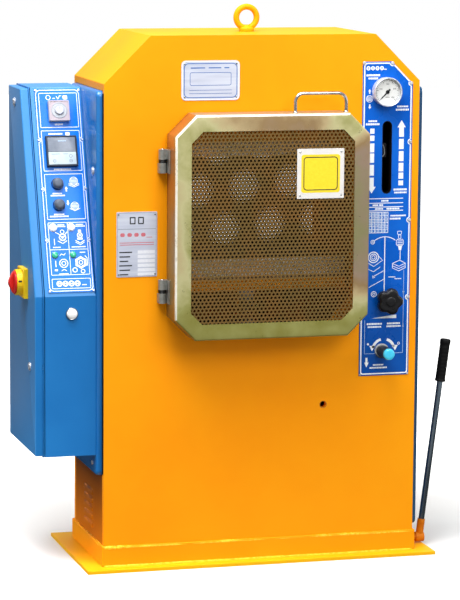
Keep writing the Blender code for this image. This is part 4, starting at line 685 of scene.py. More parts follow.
# A perforated sheet: rectangular cells one pitch wide and 0.866 of it high, every other row moved by half a
# pitch, each with an eight-sided hole in its middle. The rows run through the given point at the given turn.
# Cells that cross the outline, or lie in the plain foot, stay blank and are pulled in to it.
def perforatedSheet(name, body, replaced, outline, holes, where):
    low, high = outline.min(0), outline.max(0)
    pitch = holes["pitch"]
    rise = pitch * 0.8660254
    reach = int(np.abs(high - low).max() / rise / 2) + 4
    column, row = np.meshgrid(np.arange(-reach, reach + 1), np.arange(-reach, reach + 1), indexing="ij")
    flat = np.stack([(column + (row % 2) / 2) * pitch, row * rise], -1).reshape(-1, 2)
    turn = np.radians(holes["turn"])
    spin = np.array([(np.cos(turn), np.sin(turn)), (-np.sin(turn), np.cos(turn))])
    halfCell = (pitch / 2, rise / 2)
    edge = np.array([(1, 0), (1, 1), (0, 1), (-1, 1), (-1, 0), (-1, -1), (0, -1), (1, -1)]) * halfCell
    centre = flat @ spin + holes["through"]
    corners = (flat[:, None] + edge) @ spin + holes["through"]
    # the octagon's cut corners limit the sum of both distances from its middle
    middle = (low + high) / 2
    limit = np.abs(outline - middle).sum(1).max()
    pulled = np.clip(corners, low, high)
    over = np.clip(np.abs(pulled - middle).sum(-1) - limit, 0, None)[..., None] / 2
    pulled = pulled - over * np.sign(pulled - middle)
    following = np.roll(pulled, -1, 1)
    area = np.abs((pulled[..., 0] * following[..., 1] - pulled[..., 1] * following[..., 0]).sum(1)) / 2
    crossing = (np.abs(pulled - corners).max((1, 2)) > 0.01) | (centre[:, 1] < low[1] + holes["plainFoot"])
    pierced = np.flatnonzero(~crossing)
    blank = np.flatnonzero(crossing & (area > 0.3))
    step = np.arange(8)
    start = pierced[:, None] * 16
    after = (step + 1) % 8
    quads = np.stack([start + step, start + after, start + 8 + after, start + 8 + step], -1).reshape(-1, 4)
    ring = circlePoints((0, 0), holes["hole"] / 2, 8)
    points = np.concatenate([pulled, centre[:, None] + ring @ spin], 1).reshape(-1, 2)
    single, spot = np.unique(np.round(points, 3), axis=0, return_inverse=True)
    spot = spot.reshape(-1)
    blanks = [list(dict.fromkeys(face)) for face in spot[blank[:, None] * 16 + step].tolist()]
    faces = spot[quads].tolist() + [face for face in blanks if len(face) > 2]
    piece = makeMesh(name, put(atHeight(single, 0), where), faces, ["chromateMesh"])
    editMesh(piece.data, dropLoosePoints,
             lambda shell: bmesh.ops.dissolve_degenerate(shell, edges=shell.edges, dist=0.00002))
    solid = piece.modifiers.new("sheetThickness", "SOLIDIFY")
    solid.thickness = 0.0015
    solid.offset = -1
    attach(piece, body)
    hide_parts(replaced)
    print(name, "holes:", len(pierced))


# Bright bent rod with rounded elbows, standing on two small welded feet
def doorHandle():
    s = {"left": 61, "right": 182, "foot": 1051.8, "top": 1094.8, "y": -208, "corner": 20, "radius": 4}
    rise = np.linspace(s["foot"], s["top"] - s["corner"], 6)[:-1]
    elbow = s["top"] - s["corner"]
    flat = np.vstack([np.column_stack([np.full(5, s["left"]), rise]),
                      arcPoints((s["left"] + s["corner"], elbow), s["corner"], np.pi, -np.pi / 2, 14),
                      arcPoints((s["right"] - s["corner"], elbow), s["corner"], np.pi / 2, -np.pi / 2, 14),
                      np.column_stack([np.full(5, s["right"]), rise[::-1]])])
    line = np.column_stack([flat[:, 0], np.full(len(flat), s["y"]), flat[:, 1]])
    feet = [turnedShape([(6.2, 0), (6, 1.2), (4.6, 3)], on("plan", x, s["y"], s["foot"]))
            for x in (s["left"], s["right"])]
    addPiece("doorHandle", "guard_door",
             {"brightZinc": [rodShape(line, s["radius"], (0, 1, 0), 20)] + feet}, ["door_handle"])


# The plain yellow panel with its thin dark line on the white sign plate, and four rivets
def signPanel():
    s = {"centre": (111.2, 915), "size": 87, "face": 246, "rivets": (49, 49.5)}
    size = s["size"]
    where = on("front", *s["centre"], s["face"])
    panel = plateShape(roundedRectangle((0, 0), size * 1.06, size, 6), 0.02, 0.14, where)
    line = frameShape(roundedRectangle((0, 0), size * 0.94, size * 0.88, 8), 2.2, 0.10, 0.22, where)
    rivets = [turnedShape([(2.2, 0)] + domeProfile(2.2, 0.6, 0.2, 5), moved(where, a, b), 16)
              for a, b in fourCorners(*s["rivets"])]
    addPiece("signPanel", "guard_door", {"yellowInk": [panel], "darkInk": [line],
                                                        "brightZinc": rivets})


# Both hinges: the pin's domed end above the knuckle, and a black stack of discs that fills the gap between
# the knuckles as painted shade
def hingeDetails():
    s = {"x": -241.5, "y": -174, "levels": {"Lower": (618, 672), "Upper": (916, 970)}, "gap": 23.2,
         "shadeDisc": 2.6}
    for level, (low, high) in s["levels"].items():
        pin = turnedShape([(3.6, 0), (4.2, 0.3), (4.2, 0.9)] + domeProfile(4, 1.2, 0.9, 6),
                          on("plan", s["x"], s["y"], high - 0.2), 24)
        addPiece("hingePin" + level, "guard_door", {"brightZinc": [pin]})
        stack = [turnedShape([(6.1, 0), (8.6, 0), (8.9, 0.4), (8.9, 2), (8.6, 2.4), (6.1, 2.4)],
                             on("plan", s["x"], s["y"], low + s["gap"] + number * s["shadeDisc"]), 32)
                 for number in range(3)]
        addPiece("hingeGapShade" + level, "machine", {"blackPhenolic": stack})


doorHoles = {"pitch": 9.3, "hole": 6.1, "through": (-2.225, 809.648), "turn": 0.0, "plainFoot": 0}
guardHoles = {"pitch": 9.0915, "hole": 2.2, "through": (1.396, 767.955), "turn": -0.404, "plainFoot": 150}
guardOutline = np.array([(-240, 527), (240, 527), (240, 1009), (-240, 1009)], float)
sheetOutline = insetOutline(doorFrame(), 25)
perforatedSheet("doorPerforatedSheet", "guard_door", "door_mesh", sheetOutline, doorHoles,
                on("front", 0, 0, 244.7))
perforatedSheet("rearPerforatedGuard", "machine", "rear_guard", guardOutline, guardHoles,
                on("rear", 0, 0, 143.8))
doorHandle()
signPanel()
hingeDetails()
print("guard door finished")


# Body

# Lifting eye: a ring, a waisted neck and a collar enamelled with the body, and the threaded shank in bright
# zinc
def liftingEye():
    s = {"y": -10.5, "top": 1289.8, "outer": 31.5, "inner": 17.5, "seat": 1226.3}
    around = circlePoints((0, s["top"] - s["outer"]), (s["outer"] + s["inner"]) / 2, 48)
    line = np.column_stack([around[:, 0], np.full(48, s["y"]), around[:, 1]])
    ring = rodShape(line, (s["outer"] - s["inner"]) / 2, (0, 1, 0), 20, True)
    seat = on("plan", 0, s["y"], s["seat"])
    collar = turnedShape([(16.5, 0), (17.5, 1), (17.5, 6.5), (16, 8.5), (11.5, 10.5), (8.8, 13), (7.8, 15)],
                         seat)
    shank = turnedShape([(7, -18.3), (8, -17.1), (8, 0.5)], seat)
    addPiece("liftingEye", "machine",
             {"orangeEnamel": [ring, collar], "brightZinc": [shank]}, ["lifting_eye"])


# A folded tray: an outline carried along a fold's section
def trayShape(outline, depth, sheet, bend, where):
    return ringSurface(put(outlineRings(outline, foldSection(depth, sheet, bend)), where))


# Side covers: folded blue trays with rounded corners that stand a little out of the body, and a black strip
# on the body's side, along the left cover's front edge, as painted shade between cover and body
def sideCovers():
    s = {"face": 388.5, "depth": 33, "low": -147.7, "high": 126.7, "top": 1101.7, "sheet": 1.5, "corner": 14,
         "screwIn": 36.5, "screwUp": 26.2, "screwTop": 916}
    width = s["high"] - s["low"]
    for side, bottom, bend, start, end, finish in (("left", 217, 7, -s["high"], -s["low"], "coverEnamel"),
                                                   ("right", 64, 2.5, s["low"], s["high"], "shadeEnamel")):
        where = on(side, 0, 0, s["face"])
        outline = roundedRectangle(((start + end) / 2, (bottom + s["top"]) / 2), width, s["top"] - bottom,
                                   s["corner"], 7)
        addPiece(side + "SideCover", "machine",
                 {finish: [trayShape(outline, s["depth"], s["sheet"], bend, where)]}, [side + "_side_cover"])
        spots = [(a, b, 35 + 50 * a / end) for b in (bottom + s["screwUp"], s["screwTop"])
                 for a in (start + s["screwIn"], end - s["screwIn"])]
        addPiece(side + "SideCoverScrews", "machine",
                 {"brightNickel": screwHeads(spots, 5, 2.8, where)})
    # Painted shade: a black strip in the rubber finish where the body's side lies in shade beside the cover
    strip = {"a": 154.9, "width": 12, "low": 217, "short": 227, "corner": 3}
    outline = roundedRectangle((strip["a"], (strip["low"] + s["top"]) / 2), strip["width"],
                               s["top"] - strip["short"], strip["corner"])
    addPiece("coverGapShade", "machine",
             {"gripRubber": [plateShape(outline, 0, 0.9, on("left", 0, 0, 375))]})


# Pressed hoods under the louvre slots: a half lens that rises out of the panel towards the slot. Height is a
# half sine along the hood times a quarter circle across it.
def louvreHoods():
    s = {"count": 5, "length": 91.52, "rise": 4.6, "reach": 13, "pitch": 19.6, "top": 161, "middle": 10.5,
         "lip": 7.2}
    along = np.linspace(0, 1, 25)[:, None]
    across = np.linspace(0, 1, 9)[None, :]
    swell = np.clip(np.sin(along * np.pi), 0.0004, 1) ** 0.28
    rise = s["rise"] * swell * np.sqrt(1 - (1 - across) ** 2 * 0.999)
    depth = s["reach"] * (1 - across) * (0.65 + 0.35 * swell)
    flat = np.stack([s["middle"] + (along - 0.5) * s["length"] + 0 * rise, depth - s["lip"]], -1)
    shapes = [reliefShape(flat, rise, np.maximum(rise - 1.2, -0.8),
                          on("left", 0, s["top"] - number * s["pitch"], 375))
              for number in range(s["count"])]
    addPiece("louvreHoods", "machine", {"shadedPanelEnamel": shapes})


# Weld stitches along the plinth's foot and under the body: round beads whose radius swells with every ripple.
# Each run has its two ends and its fullness.
def weldStitches():
    s = {"radius": 4, "ripple": 5.2, "plinth": (374, -168, 8.3), "body": (376.2, -164.7, 51.6), "rear": 140}
    generator = np.random.default_rng(7)
    side, front, top = s["body"]
    halfPlinth, plinthFront, foot = s["plinth"]
    runs = [((-side, front, top), (-330, front, top), 1.1), ((-334, front, top), (side, front, top), 0.92),
            ((-side, front + 4, top), (-side, s["rear"], top), 0.9),
            ((side, front + 4, top), (side, s["rear"], top), 0.9),
            ((-halfPlinth, plinthFront, foot), (halfPlinth, plinthFront, foot), 0.7)]
    shapes = []
    for start, end, fullness in runs:
        start, end = np.array(start, float), np.array(end, float)
        length = np.linalg.norm(end - start)
        t = np.linspace(0, 1, int(length / 1.2) + 2)
        line = start + (end - start) * t[:, None]
        line[:, 2] += np.interp(t, np.linspace(0, 1, 9), generator.normal(0, 0.3, 9))
        ends = np.clip(np.minimum(t, 1 - t) * length / 3, 0.05, 1) ** 0.5
        swell = np.interp(t, np.linspace(0, 1, 23), generator.uniform(0.85, 1.15, 23))
        ripple = 0.95 + 0.06 * np.abs(np.sin(t * length / s["ripple"] * np.pi))
        flat = (1, 0, 0) if abs(end[1] - start[1]) > 100 else (0, 1, 0)
        shapes.append(rodShape(line, s["radius"] * fullness * ends * swell * ripple, flat, 10))
    addPiece("weldStitches", "machine", {"litBeadEnamel": shapes})


# The inspection hole's drilled edge: a thin ring in the darker inner enamel, painted shade at the hole's rim
def inspectionRing():
    ring = frameShape(circlePoints((0, 0), 8.6), 1.1, -0.3, 0.15, on("front", 150, 365, 163))
    addPiece("inspectionHoleEdge", "machine", {"shadedInnerEnamel": [ring]})


# Name plate: a white edge strip, a blue rounded line inside it, ruled lines and four small drive screws
def namePlate():
    s = {"left": -196, "bottom": 1078.5, "width": 137.5, "height": 90.5, "face": 164.3, "print": (0.03, 0.16),
         "bars": ((0, -22, 101.5, 1, 0.4), (0, -29.5, 101.5, 1, 0.4), (-30, 28.5, 34, 2.4, 0.6),
                  (10, 28.5, 30, 2.4, 0.6), (38, 28.5, 12, 2.4, 0.6))}
    width, height = s["width"], s["height"]
    where = on("front", s["left"] + width / 2, s["bottom"] + height / 2, s["face"])

    def line(drop, frameWidth, frameHeight, corner, thick, steps):
        return frameShape(roundedRectangle((0, drop), frameWidth, frameHeight, corner, steps), thick,
                          *s["print"], where)

    bars = [plateShape(roundedRectangle((a, b), wide, high, corner, 2), *s["print"], where)
            for a, b, wide, high, corner in s["bars"]]
    navy = [line(0, width - 12, height - 12, 11, 1.7, 7)] + bars + [line(3.5, width - 40, 30, 4, 1.2, 5)]
    spots = [(61 * a, 37.5 * b, 30 * a + 20 * b) for a, b in fourCorners(1, 1)]
    addPiece("namePlatePrint", "machine", {
        "whiteInk": [line(0, width - 3, height - 3, 9, 1.6, 7)], "navyInk": navy,
        "brightZinc": screwHeads(spots, 2.1, 0.9, where)})


# Data plate: two dark boxes over a rule, a row of dull red blocks with fine lines, then rows of a short dark
# dash and a pale field. Each block is its a, its drop below the top edge, width, height and corner.
def dataPlate():
    s = {"left": -346, "bottom": 679, "width": 95, "height": 149, "face": 164.3, "first": 92.1, "step": 10.2,
         "rows": 6,
         "red": [(a, 52.5, 10.5, 8.5, 3) for a in (-33.5, -17, -1, 15)]
         + [(29, 58.5, 14, 1.4), (0, 70.5, 80, 1.6), (0, 75.2, 80, 1.6)]}
    width, height = s["width"], s["height"]
    where = on("front", s["left"] + width / 2, s["bottom"] + height / 2, s["face"])

    def block(a, drop, wide, high, corner=0.5):
        return plateShape(roundedRectangle((a, height / 2 - drop), wide, high, corner, 3), *printed, where)

    levels = [s["first"] + number * s["step"] for number in range(s["rows"])]
    dark = [frameShape(roundedRectangle((a, height / 2 - 20), 13.5, 16.5, 0.8, 2), 2.6, *printed, where)
            for a in (-10, 9.5)]
    dark += [block(-26 - 2 * (number % 3), drop, 30 - 5 * (number % 3), 2.8)
             for number, drop in enumerate(levels)]
    edge = frameShape(roundedRectangle((0, 0), width - 4, height - 4, 3, 4), 0.7, *printed, where)
    spots = [(42.5 * a, 68.5 * b, 30 * a + 20 * b) for a, b in fourCorners(1, 1)]
    addPiece("dataPlatePrint", "machine", {
        "greyInk": [edge, block(0, 39.2, width - 6, 0.9)], "darkInk": dark,
        "redInk": [block(*row) for row in s["red"]],
        "fieldInk": [block(22, drop, 40, 7.4) for drop in levels],
        "brightZinc": screwHeads(spots, 1.9, 0.9, where)})


printed = (0.03, 0.14)   # ink stands between these heights over the plate that carries it
liftingEye()
sideCovers()
louvreHoods()
weldStitches()
inspectionRing()
namePlate()
dataPlate()
print("body finished")


# Printed marks

# A straight bar from left to right about a height
def barMark(where, left, right, middle, height):
    corner = min(height, right - left) * 0.18
    outline = roundedRectangle(((left + right) / 2, middle), right - left, height, corner, 2)
    return [plateShape(outline, *printed, where)]


# A row of small plain blocks of uneven width, drawn from its own seed
def blockMark(where, left, right, middle, height, seed):
    widths = np.random.default_rng(seed).uniform(0.6, 1.15, max(int((right - left) / (height * 0.85)), 2))
    edges = left + np.concatenate([[0], np.cumsum(widths)]) / widths.sum() * (right - left)
    outlines = [cutRectangle(start, end - height * 0.14, middle - height / 2, middle + height / 2,
                             height * 0.12)
                for start, end in zip(edges[:-1], edges[1:])]
    return [plateShape(outline, *printed, where) for outline in outlines]


# A ring: a circle's outline with a line's width
def ringMark(where, a, b, radius, line):
    return [frameShape(circlePoints((a, b), radius, 28), line, *printed, where)]


# The outline through the corners, with a line's width inside it
def outlineMark(where, line, *corners):
    return [frameShape(np.array(corners, float), line, *printed, where)]


# The filled shape through the corners
def polygonMark(where, *corners):
    return [plateShape(np.array(corners, float), *printed, where)]


# A polyline, resampled so that its corners stay crisp
def lineMark(where, width, *corners):
    corners = np.array(corners, float)
    parts = [start + (end - start) * np.array([[0], [1], [2]]) / 3
             for start, end in zip(corners[:-1], corners[1:])]
    return [strokeShape(np.vstack(parts + [corners[-1:]]), width, *printed, where)]


# A part of a circle drawn as a line: its start and turn are in degrees
def arcMark(where, a, b, radius, start, turn, width):
    return [strokeShape(arcPoints((a, b), radius, np.radians(start), np.radians(turn), 14), width, *printed,
                        where)]


# A striped round mark with chevrons under or over it
def stripedMark(where, a, b, radius, chevrons=0):
    marks = ringMark(where, a, b, radius, radius * 0.13)
    for row in (-0.5, -0.17, 0.17, 0.5):
        reach = radius * np.sqrt(1 - row ** 2) * 0.80
        marks += barMark(where, a - reach, a + reach, b + row * radius, radius * 0.17)
    side = np.sign(chevrons)
    for number in range(abs(chevrons)):
        top = b + side * radius * (1.12 + 0.32 * number)
        ends = top - side * radius * 0.55
        marks += lineMark(where, radius * 0.14, (a - radius * 1.25, ends), (a, top),
                          (a + radius * 1.25, ends))
    return marks


# A short thick arrow from its foot to its tip, up or down: half its height is head
def arrowMark(where, a, foot, tip, half):
    neck = (foot + tip) / 2
    thin = half * 0.45
    corners = [(a - thin, foot), (a + thin, foot), (a + thin, neck), (a + half, neck), (a, tip),
               (a - half, neck), (a - thin, neck)]
    return polygonMark(where, *(corners if tip > foot else corners[::-1]))


markKinds = {"bar": barMark, "blocks": blockMark, "ring": ringMark, "outline": outlineMark, "line": lineMark,
             "polygon": polygonMark, "arc": arcMark, "stripes": stripedMark, "arrow": arrowMark,
             "disc": lambda where, a, b, radius: polygonMark(where, *circlePoints((a, b), radius, 28))}


# Marks from rows of a kind and its numbers
def drawMarks(where, rows):
    return [shape for kind, *values in rows for shape in markKinds[kind](where, *values)]


# Right control plate

rightPlate = {
    "face": 164.8, "border": (240.2, 354, 433, 1158.5), "cut": 46.5, "line": 2.9, "scallop": 5.8,
    "screws": [(354, 976), (354, 793.6), (354, 612.3), (240.2, 976), (240.2, 793.6), (240.2, 612.3)],
    "cornerScrews": [(354.8, 431.8), (239.2, 431.8), (239.2, 1159.2), (307.5, 1158.5), (354, 1112)],
    # both scales: middle, width, the head's foot, tip and half width, then the pieces of the shaft
    "scales": [
        (331.9, 11.5, 1009.7, 1026.3, 10.3, [(987.7, 1009.7), (959.2, 982.9), (931.2, 954.4), (907.4, 927.1),
                                             (890.2, 904.5), (874.8, 886)]),
        (260.7, 10.2, 872.7, 857.3, 10, [(996, 1007.8), (979.4, 991.7), (952.7, 973.5), (928.5, 950.3),
                                         (898.8, 923.8), (872.7, 894.1)])],
    "blocks": [
        (244.4, 277.9, 1131, 4.5), (249.5, 273, 1123.7, 4.2), (320.1, 347.5, 1058.2, 4),
        (317.2, 349.4, 1050.8, 4.6), (251, 272.1, 1025, 4), (244.9, 278.4, 1018, 4.6),
        (314.5, 347.6, 865.2, 4.6), (316.4, 347.2, 858.1, 4), (307.9, 346, 804.2, 3.6),
        (306.5, 333.3, 797.2, 4), (253.9, 291.8, 550.8, 4.2), (303.7, 336, 550.8, 4.2),
        (256.1, 289.8, 543.7, 3.8), (302.6, 337.6, 544.2, 4), (270.3, 296.3, 453.8, 3.6),
        (262.3, 305.4, 447, 4), (305.8, 322.5, 660.5, 2.2), (320.5, 337.2, 656, 2.2), (285, 303, 839.5, 4.2),
        (264, 278, 829.5, 4), (280, 290, 829.5, 4), (270, 290, 820.8, 3.8), (298, 330, 820.8, 4.2)],
    "rulings": (844.7, 834.2, 825.1, 816.5), "table": (245.5, 302, 765, 812.5),
    "marks": [
        ("blocks", 286.8, 293.5, 1144.6, 2.2, 3), ("arrow", 252.9, 1088.5, 1099.5, 3.4),
        ("arrow", 253.5, 1064, 1053, 3.4), ("stripes", 252.9, 1076.8, 8.4),
        # line sketch: a mast with two curved arms, rings and a folded sheet on its left, a tool over a block
        # on its right
        ("bar", 294.2, 296.4, 690.5, 129.7), ("ring", 265.5, 743.3, 5.2, 1.3), ("ring", 265.5, 743.3, 2.4, 1),
        ("ring", 267.8, 707.7, 13.5, 2.2), ("ring", 267.8, 707.7, 8.8, 1.8), ("ring", 267.8, 707.7, 4.6, 1.4),
        ("line", 1.3, (253, 696), (268.8, 686), (290.3, 700.3), (279, 712)),
        ("line", 1.3, (255.5, 680), (268.8, 674), (285, 685)),
        ("line", 1.3, (267.1, 662.2), (293.6, 675.6)), ("line", 1.1, (266.5, 665), (267.1, 659), (272, 661)),
        ("line", 1.3, (257.1, 636.9), (293.9, 655.7)), ("outline", 1.1,
                                                        *cutRectangle(325.5, 336.5, 759.5, 768, 1.5)),
        ("outline", 1.1, *cutRectangle(328, 335, 750, 759, 1)),
        ("outline", 1.2, *cutRectangle(323, 341, 733, 749, 3)),
        ("bar", 326, 338.5, 744.5, 1.4), ("bar", 326, 338.5, 740.5, 1.4), ("bar", 326, 338.5, 736.5, 1.4),
        ("polygon", (330, 723), (335.5, 723), (337.5, 732.5), (328, 732.5)), ("bar", 332.5, 334.1, 712, 23),
        ("outline", 1.3, (330.5, 673.5), (347, 681), (347, 692.5), (332, 700), (314.2, 692.5), (314.2, 681)),
        ("line", 1.2, (314.5, 692), (330.5, 685), (346.8, 692)),
        ("line", 1.2, (314.5, 686.5), (330.5, 679.5), (346.8, 686.5)),
        # the wedge that stands for more and less, and the marks round the valve knob
        ("polygon", (265.6, 564), (326.2, 563.1), (326.2, 571.7)), ("ring", 270, 621, 7, 1.6),
        ("ring", 270, 621, 3.4, 1.2), ("arc", 295.5, 488, 26.5, 105, 62, 6.2),
        ("polygon", (267.4, 486.6), (275.4, 499.2), (261, 499.2)), ("arc", 295.5, 488, 26.5, 72, -56, 6.2),
        ("polygon", (324.4, 486.6), (330.8, 499.2), (316.4, 499.2)), ("disc", 257.6, 503.3, 2.7),
        ("ring", 332.9, 503.4, 3.1, 1.2), ("arrow", 254.3, 471.5, 448.5, 5.6)],
    "faintMarks": [
        ("line", 1, (248.9, 560.1), (248.9, 480.7)), ("line", 1, (248.9, 480.7), (343, 480.7)),
        ("line", 1, (343, 480.7), (343, 676)), ("arrow", 343, 618, 629, 2.4), ("arrow", 343, 549, 539, 2.4)],
}


# A printed border's upright line, broken round each screw, with a half ring on the plate's inner side
def scallopedSide(x, side, ends, heights, gap, line):
    ends = [ends[0]] + [z + step for z in heights for step in (-gap, gap)] + [ends[1]]
    rows = [("line", line, (x, low), (x, high)) for low, high in zip(ends[::2], ends[1::2])]
    return rows + [("arc", x, z, gap, 90, 180 * side, line * 0.8) for z in heights]


# The plate's border, rows of blocks, both scales, the table and the line sketches, and its screws
def rightPlatePrint():
    s = rightPlate
    where = on("front", 0, 0, s["face"])
    left, right, low, high = s["border"]
    gap, line, cut = s["scallop"], s["line"], s["cut"]
    rows = []
    for x, side, end in ((right, 1, high - cut - gap), (left, -1, high - 8)):
        heights = sorted(z for a, z in s["screws"] if a == x)
        rows += scallopedSide(x, side, (low + 6, end), heights, gap, line)
    rows += [("line", line, (left + 6, low), (right - 6, low)),
             ("line", line, (left + 8, high), (right - cut - gap, high)),
             ("line", line, (right - cut + 4, high - 4), (right - 4, high - cut + 4)),
             ("arc", left + 6, low + 6, 6, 180, 90, line), ("arc", right - 6, low + 6, 6, 270, 90, line),
             ("arc", left + 8, high - 8, 8, 90, 90, line),
             ("arc", right - cut, high, gap, 180, 135, line * 0.8),
             ("arc", right, high - cut, gap, 135, 135, line * 0.8)]
    rows += [("blocks", *block, 40 + number) for number, block in enumerate(s["blocks"])]
    # four rings in a row, each with a dash across it
    for a in 249.1 + 10.9 * np.arange(4):
        rows += [("ring", a, 1147.2, 4.8, 2.2), ("bar", a - 2.3, a + 2.3, 1147.2, 1.6)]
    for x, width, foot, tip, half, spans in s["scales"]:
        a = x - width / 2
        b = x + width / 2
        rows += [("polygon", (a, start), (b, start), (b, end), (a, end)) for start, end in spans]
        rows.append(("polygon", *[(x - half, foot), (x + half, foot), (x, tip)][::1 if tip > foot else -1]))
    # table: ruled head lines over a grid of small fields
    rows += [("bar", 245.5, 338.7, height, 1.8) for height in s["rulings"]]
    start, end, foot, top = s["table"]
    columns = np.linspace(start, end, 8)
    levels = np.linspace(foot, top, 7)
    rows += [("bar", a - 0.7, a + 0.7, (foot + top) / 2, top - foot) for a in columns]
    rows += [("bar", start, end, level, 1.4) for level in levels]
    widths = iter(np.random.default_rng(12).uniform(2.8, 6, 42))
    fields = [("bar", a + 1.2, a + 1.2 + next(widths), level + 4, 3.8) for a in columns[:-1]
              for level in levels[:-1]]
    arms = []
    t = np.linspace(0, 1, 12)[:, None]
    for side in (-1, 1):
        arms.append(strokeShape((295.3, 755.3) + t * (side * 25.5, 0) - t ** 2 * (0, 8.5), 1.8, *printed,
                                where))
    addPiece("rightPlatePrint", "machine", {
        "whiteInk": drawMarks(where, rows + s["marks"]) + arms,
        "paleInk": drawMarks(where, fields + s["faintMarks"])})
    spots = [(a, z, 40 * number) for number, (a, z) in enumerate(s["screws"] + s["cornerScrews"])]
    screws = screwHeads([spot for spot in spots if spot[1] > 500], 4, 1.8, where)
    screws += screwHeads([spot for spot in spots if spot[1] < 500], 2.6, 1.8, where)
    addPiece("rightPlateScrews", "machine", {"brightNickel": screws})


# The slot's black liner strip, and the bright wire loop on the travel pointer's blade
def slotDetails():
    s = {"x": 297, "ends": (1013.25, 867.75), "radius": 11.7, "depth": (148.4, 165.2)}
    outline = np.vstack([arcPoints((s["x"], z), s["radius"], start, np.pi, 15)
                         for z, start in zip(s["ends"], (0, np.pi))])
    liner = frameShape(outline, 0.9, *s["depth"], on("front"))
    addPiece("slotLiner", "machine", {"blackPhenolic": [liner]})
    loop = np.array([(285, 939.8), (293.5, 939.8), (298.8, 947), (296.8, 964), (292.5, 970.8), (285, 970.8)])
    wire = frameShape(softenedOutline(loop, 1.6), 2.1, -0.2, 1.1, on("front", 0, 0, 145.2))
    addPiece("pointerLoop", "lower_press", {"polishedSteel": [wire]}, bevelMm=0.3)


# Pressure gauge: a turned steel case with a rolled bezel, white dial with a printed scale, needle and glass
def pressureGauge():
    s = {"centre": (290.6, 1093.4), "dial": 182.2, "ticks": 31, "start": 225, "sweep": 270,
         "numbers": ("0", "100", "200", "300", "400"), "ink": (0.02, 0.10)}
    where = on("front", *s["centre"])
    case = turnedShape([
        (6, 148), (6, 165.2), (32, 165.2), (33, 166.4), (33, 181.2), (33.7, 182), (34, 183.2), (34, 187.6),
        (33.6, 189.2), (32.8, 190), (31.8, 190.1), (30.9, 189.3), (30.6, 188), (30.6, 182), (30, 181.8),
        (1, 181.8)], where, 64)
    dial = turnedShape([(30.4, 181.7), (30.4, 182), (30.3, 182.2), (1, 182.2)], where, 64)
    face = moved(where, 0, 0, s["dial"])

    def ahead(share):
        angle = np.radians(s["start"] - s["sweep"] * share)
        return np.array([np.cos(angle), np.sin(angle)])

    marks = []
    for number in range(s["ticks"]):
        inner, width = (24.8, 0.5) if number % 6 else (22.5, 1)
        line = ahead(number / (s["ticks"] - 1)) * np.linspace(inner, 27.8, 3)[:, None]
        marks.append(strokeShape(line, width, *s["ink"], face))
    scale = arcPoints((0, 0), 28, np.radians(s["start"]), -np.radians(s["sweep"]), 60)
    marks.append(strokeShape(scale, 0.4, *s["ink"], face))
    for number, word in enumerate(s["numbers"]):
        marks.append(numberShape(word, 5.2, 18 * ahead(number / (len(s["numbers"]) - 1)), face))
    marks.append(plateShape(roundedRectangle((0, -12), 10, 1.2, 0.3, 2), *s["ink"], face))
    addPiece("gaugeCase", "machine",
             {"brightNickel": [case], "whiteDial": [dial], "darkInk": marks}, ["gauge_case"])
    along = ahead(0)
    side = np.array([-along[1], along[0]])
    blade = np.array([(-8.5, 1.9), (-8.5, -1.9), (2, -1.7), (25, -0.6), (25, 0.6),
                      (2, 1.7)]) @ np.array([along, side])
    hub = turnedShape([(4.6, 182.4), (4.6, 183.4), (4, 184), (1.4, 184.3)], where, 24)
    needle = plateShape(blade, 182.6, 183.2, where)
    addPiece("gaugeNeedle", "needle", {"blackPhenolic": [needle, hub]}, ["gauge_needle"])
    lens = turnedShape([(1, 187.2), (30.4, 187.2), (30.5, 188), (30.4, 188.4), (20, 188.8), (10, 189),
                        (1, 189.1)], where, 64)
    addPiece("gaugeGlass", "machine", {"clearGlass": [lens]}, ["gauge_lens"])


# A number as flat raised print: a text curve turned to a mesh, its place then applied to the points
def numberShape(word, size, centre, where):
    curve = bpy.data.curves.new("number", "FONT")
    curve.body = word
    curve.size = size
    curve.align_x = "CENTER"
    curve.align_y = "CENTER"
    curve.extrude = 0.04
    curve.resolution_u = 2
    holder = bpy.data.objects.new("number", curve)
    mesh = bpy.data.meshes.new_from_object(holder)
    points = np.zeros(len(mesh.vertices) * 3)
    mesh.vertices.foreach_get("co", points)
    faces = [list(face.vertices) for face in mesh.polygons]
    bpy.data.objects.remove(holder)
    bpy.data.curves.remove(curve)
    bpy.data.meshes.remove(mesh)
    return put(points.reshape(-1, 3) + (*centre, 0.06), where), faces


# Lobed hand knob: each ring's radius is its profile radius less a share of a cosine of five times the angle,
# weighted so that hub and cap stay round; a domed cap sits in the dished face
def pressureKnob():
    s = {"centre": (301.7, 606), "lobes": 5, "lobeDepth": 0.185}
    profile = [
        (5, 120.3), (5, 165.3), (10, 165.3), (10, 171.2), (11.2, 172.8), (20, 173.6, 0.5), (28.2, 174.5, 1),
        (30.5, 176.8, 1), (31.4, 180, 1), (31.4, 191.5, 1), (30.9, 193.8, 1), (29.8, 195.6, 1),
        (28, 196.9, 1), (25, 197.7, 0.95), (20, 197.8, 0.6), (13, 197.3), (11.8, 197.4), (11.6, 198.1),
        (10.8, 198.6), (8, 198.9), (4, 199.05), (0.8, 199.1)]
    knob = turnedShape(profile, on("front", *s["centre"]), 120,
                       wave=lambda turn: s["lobeDepth"] * (0.5 - 0.5 * np.cos(s["lobes"] * turn)) ** 1.6)
    addPiece("pressureKnob", "regulator_knob", {"blackPhenolic": [knob]}, ["pressure_knob"],
             breakAngle=40)


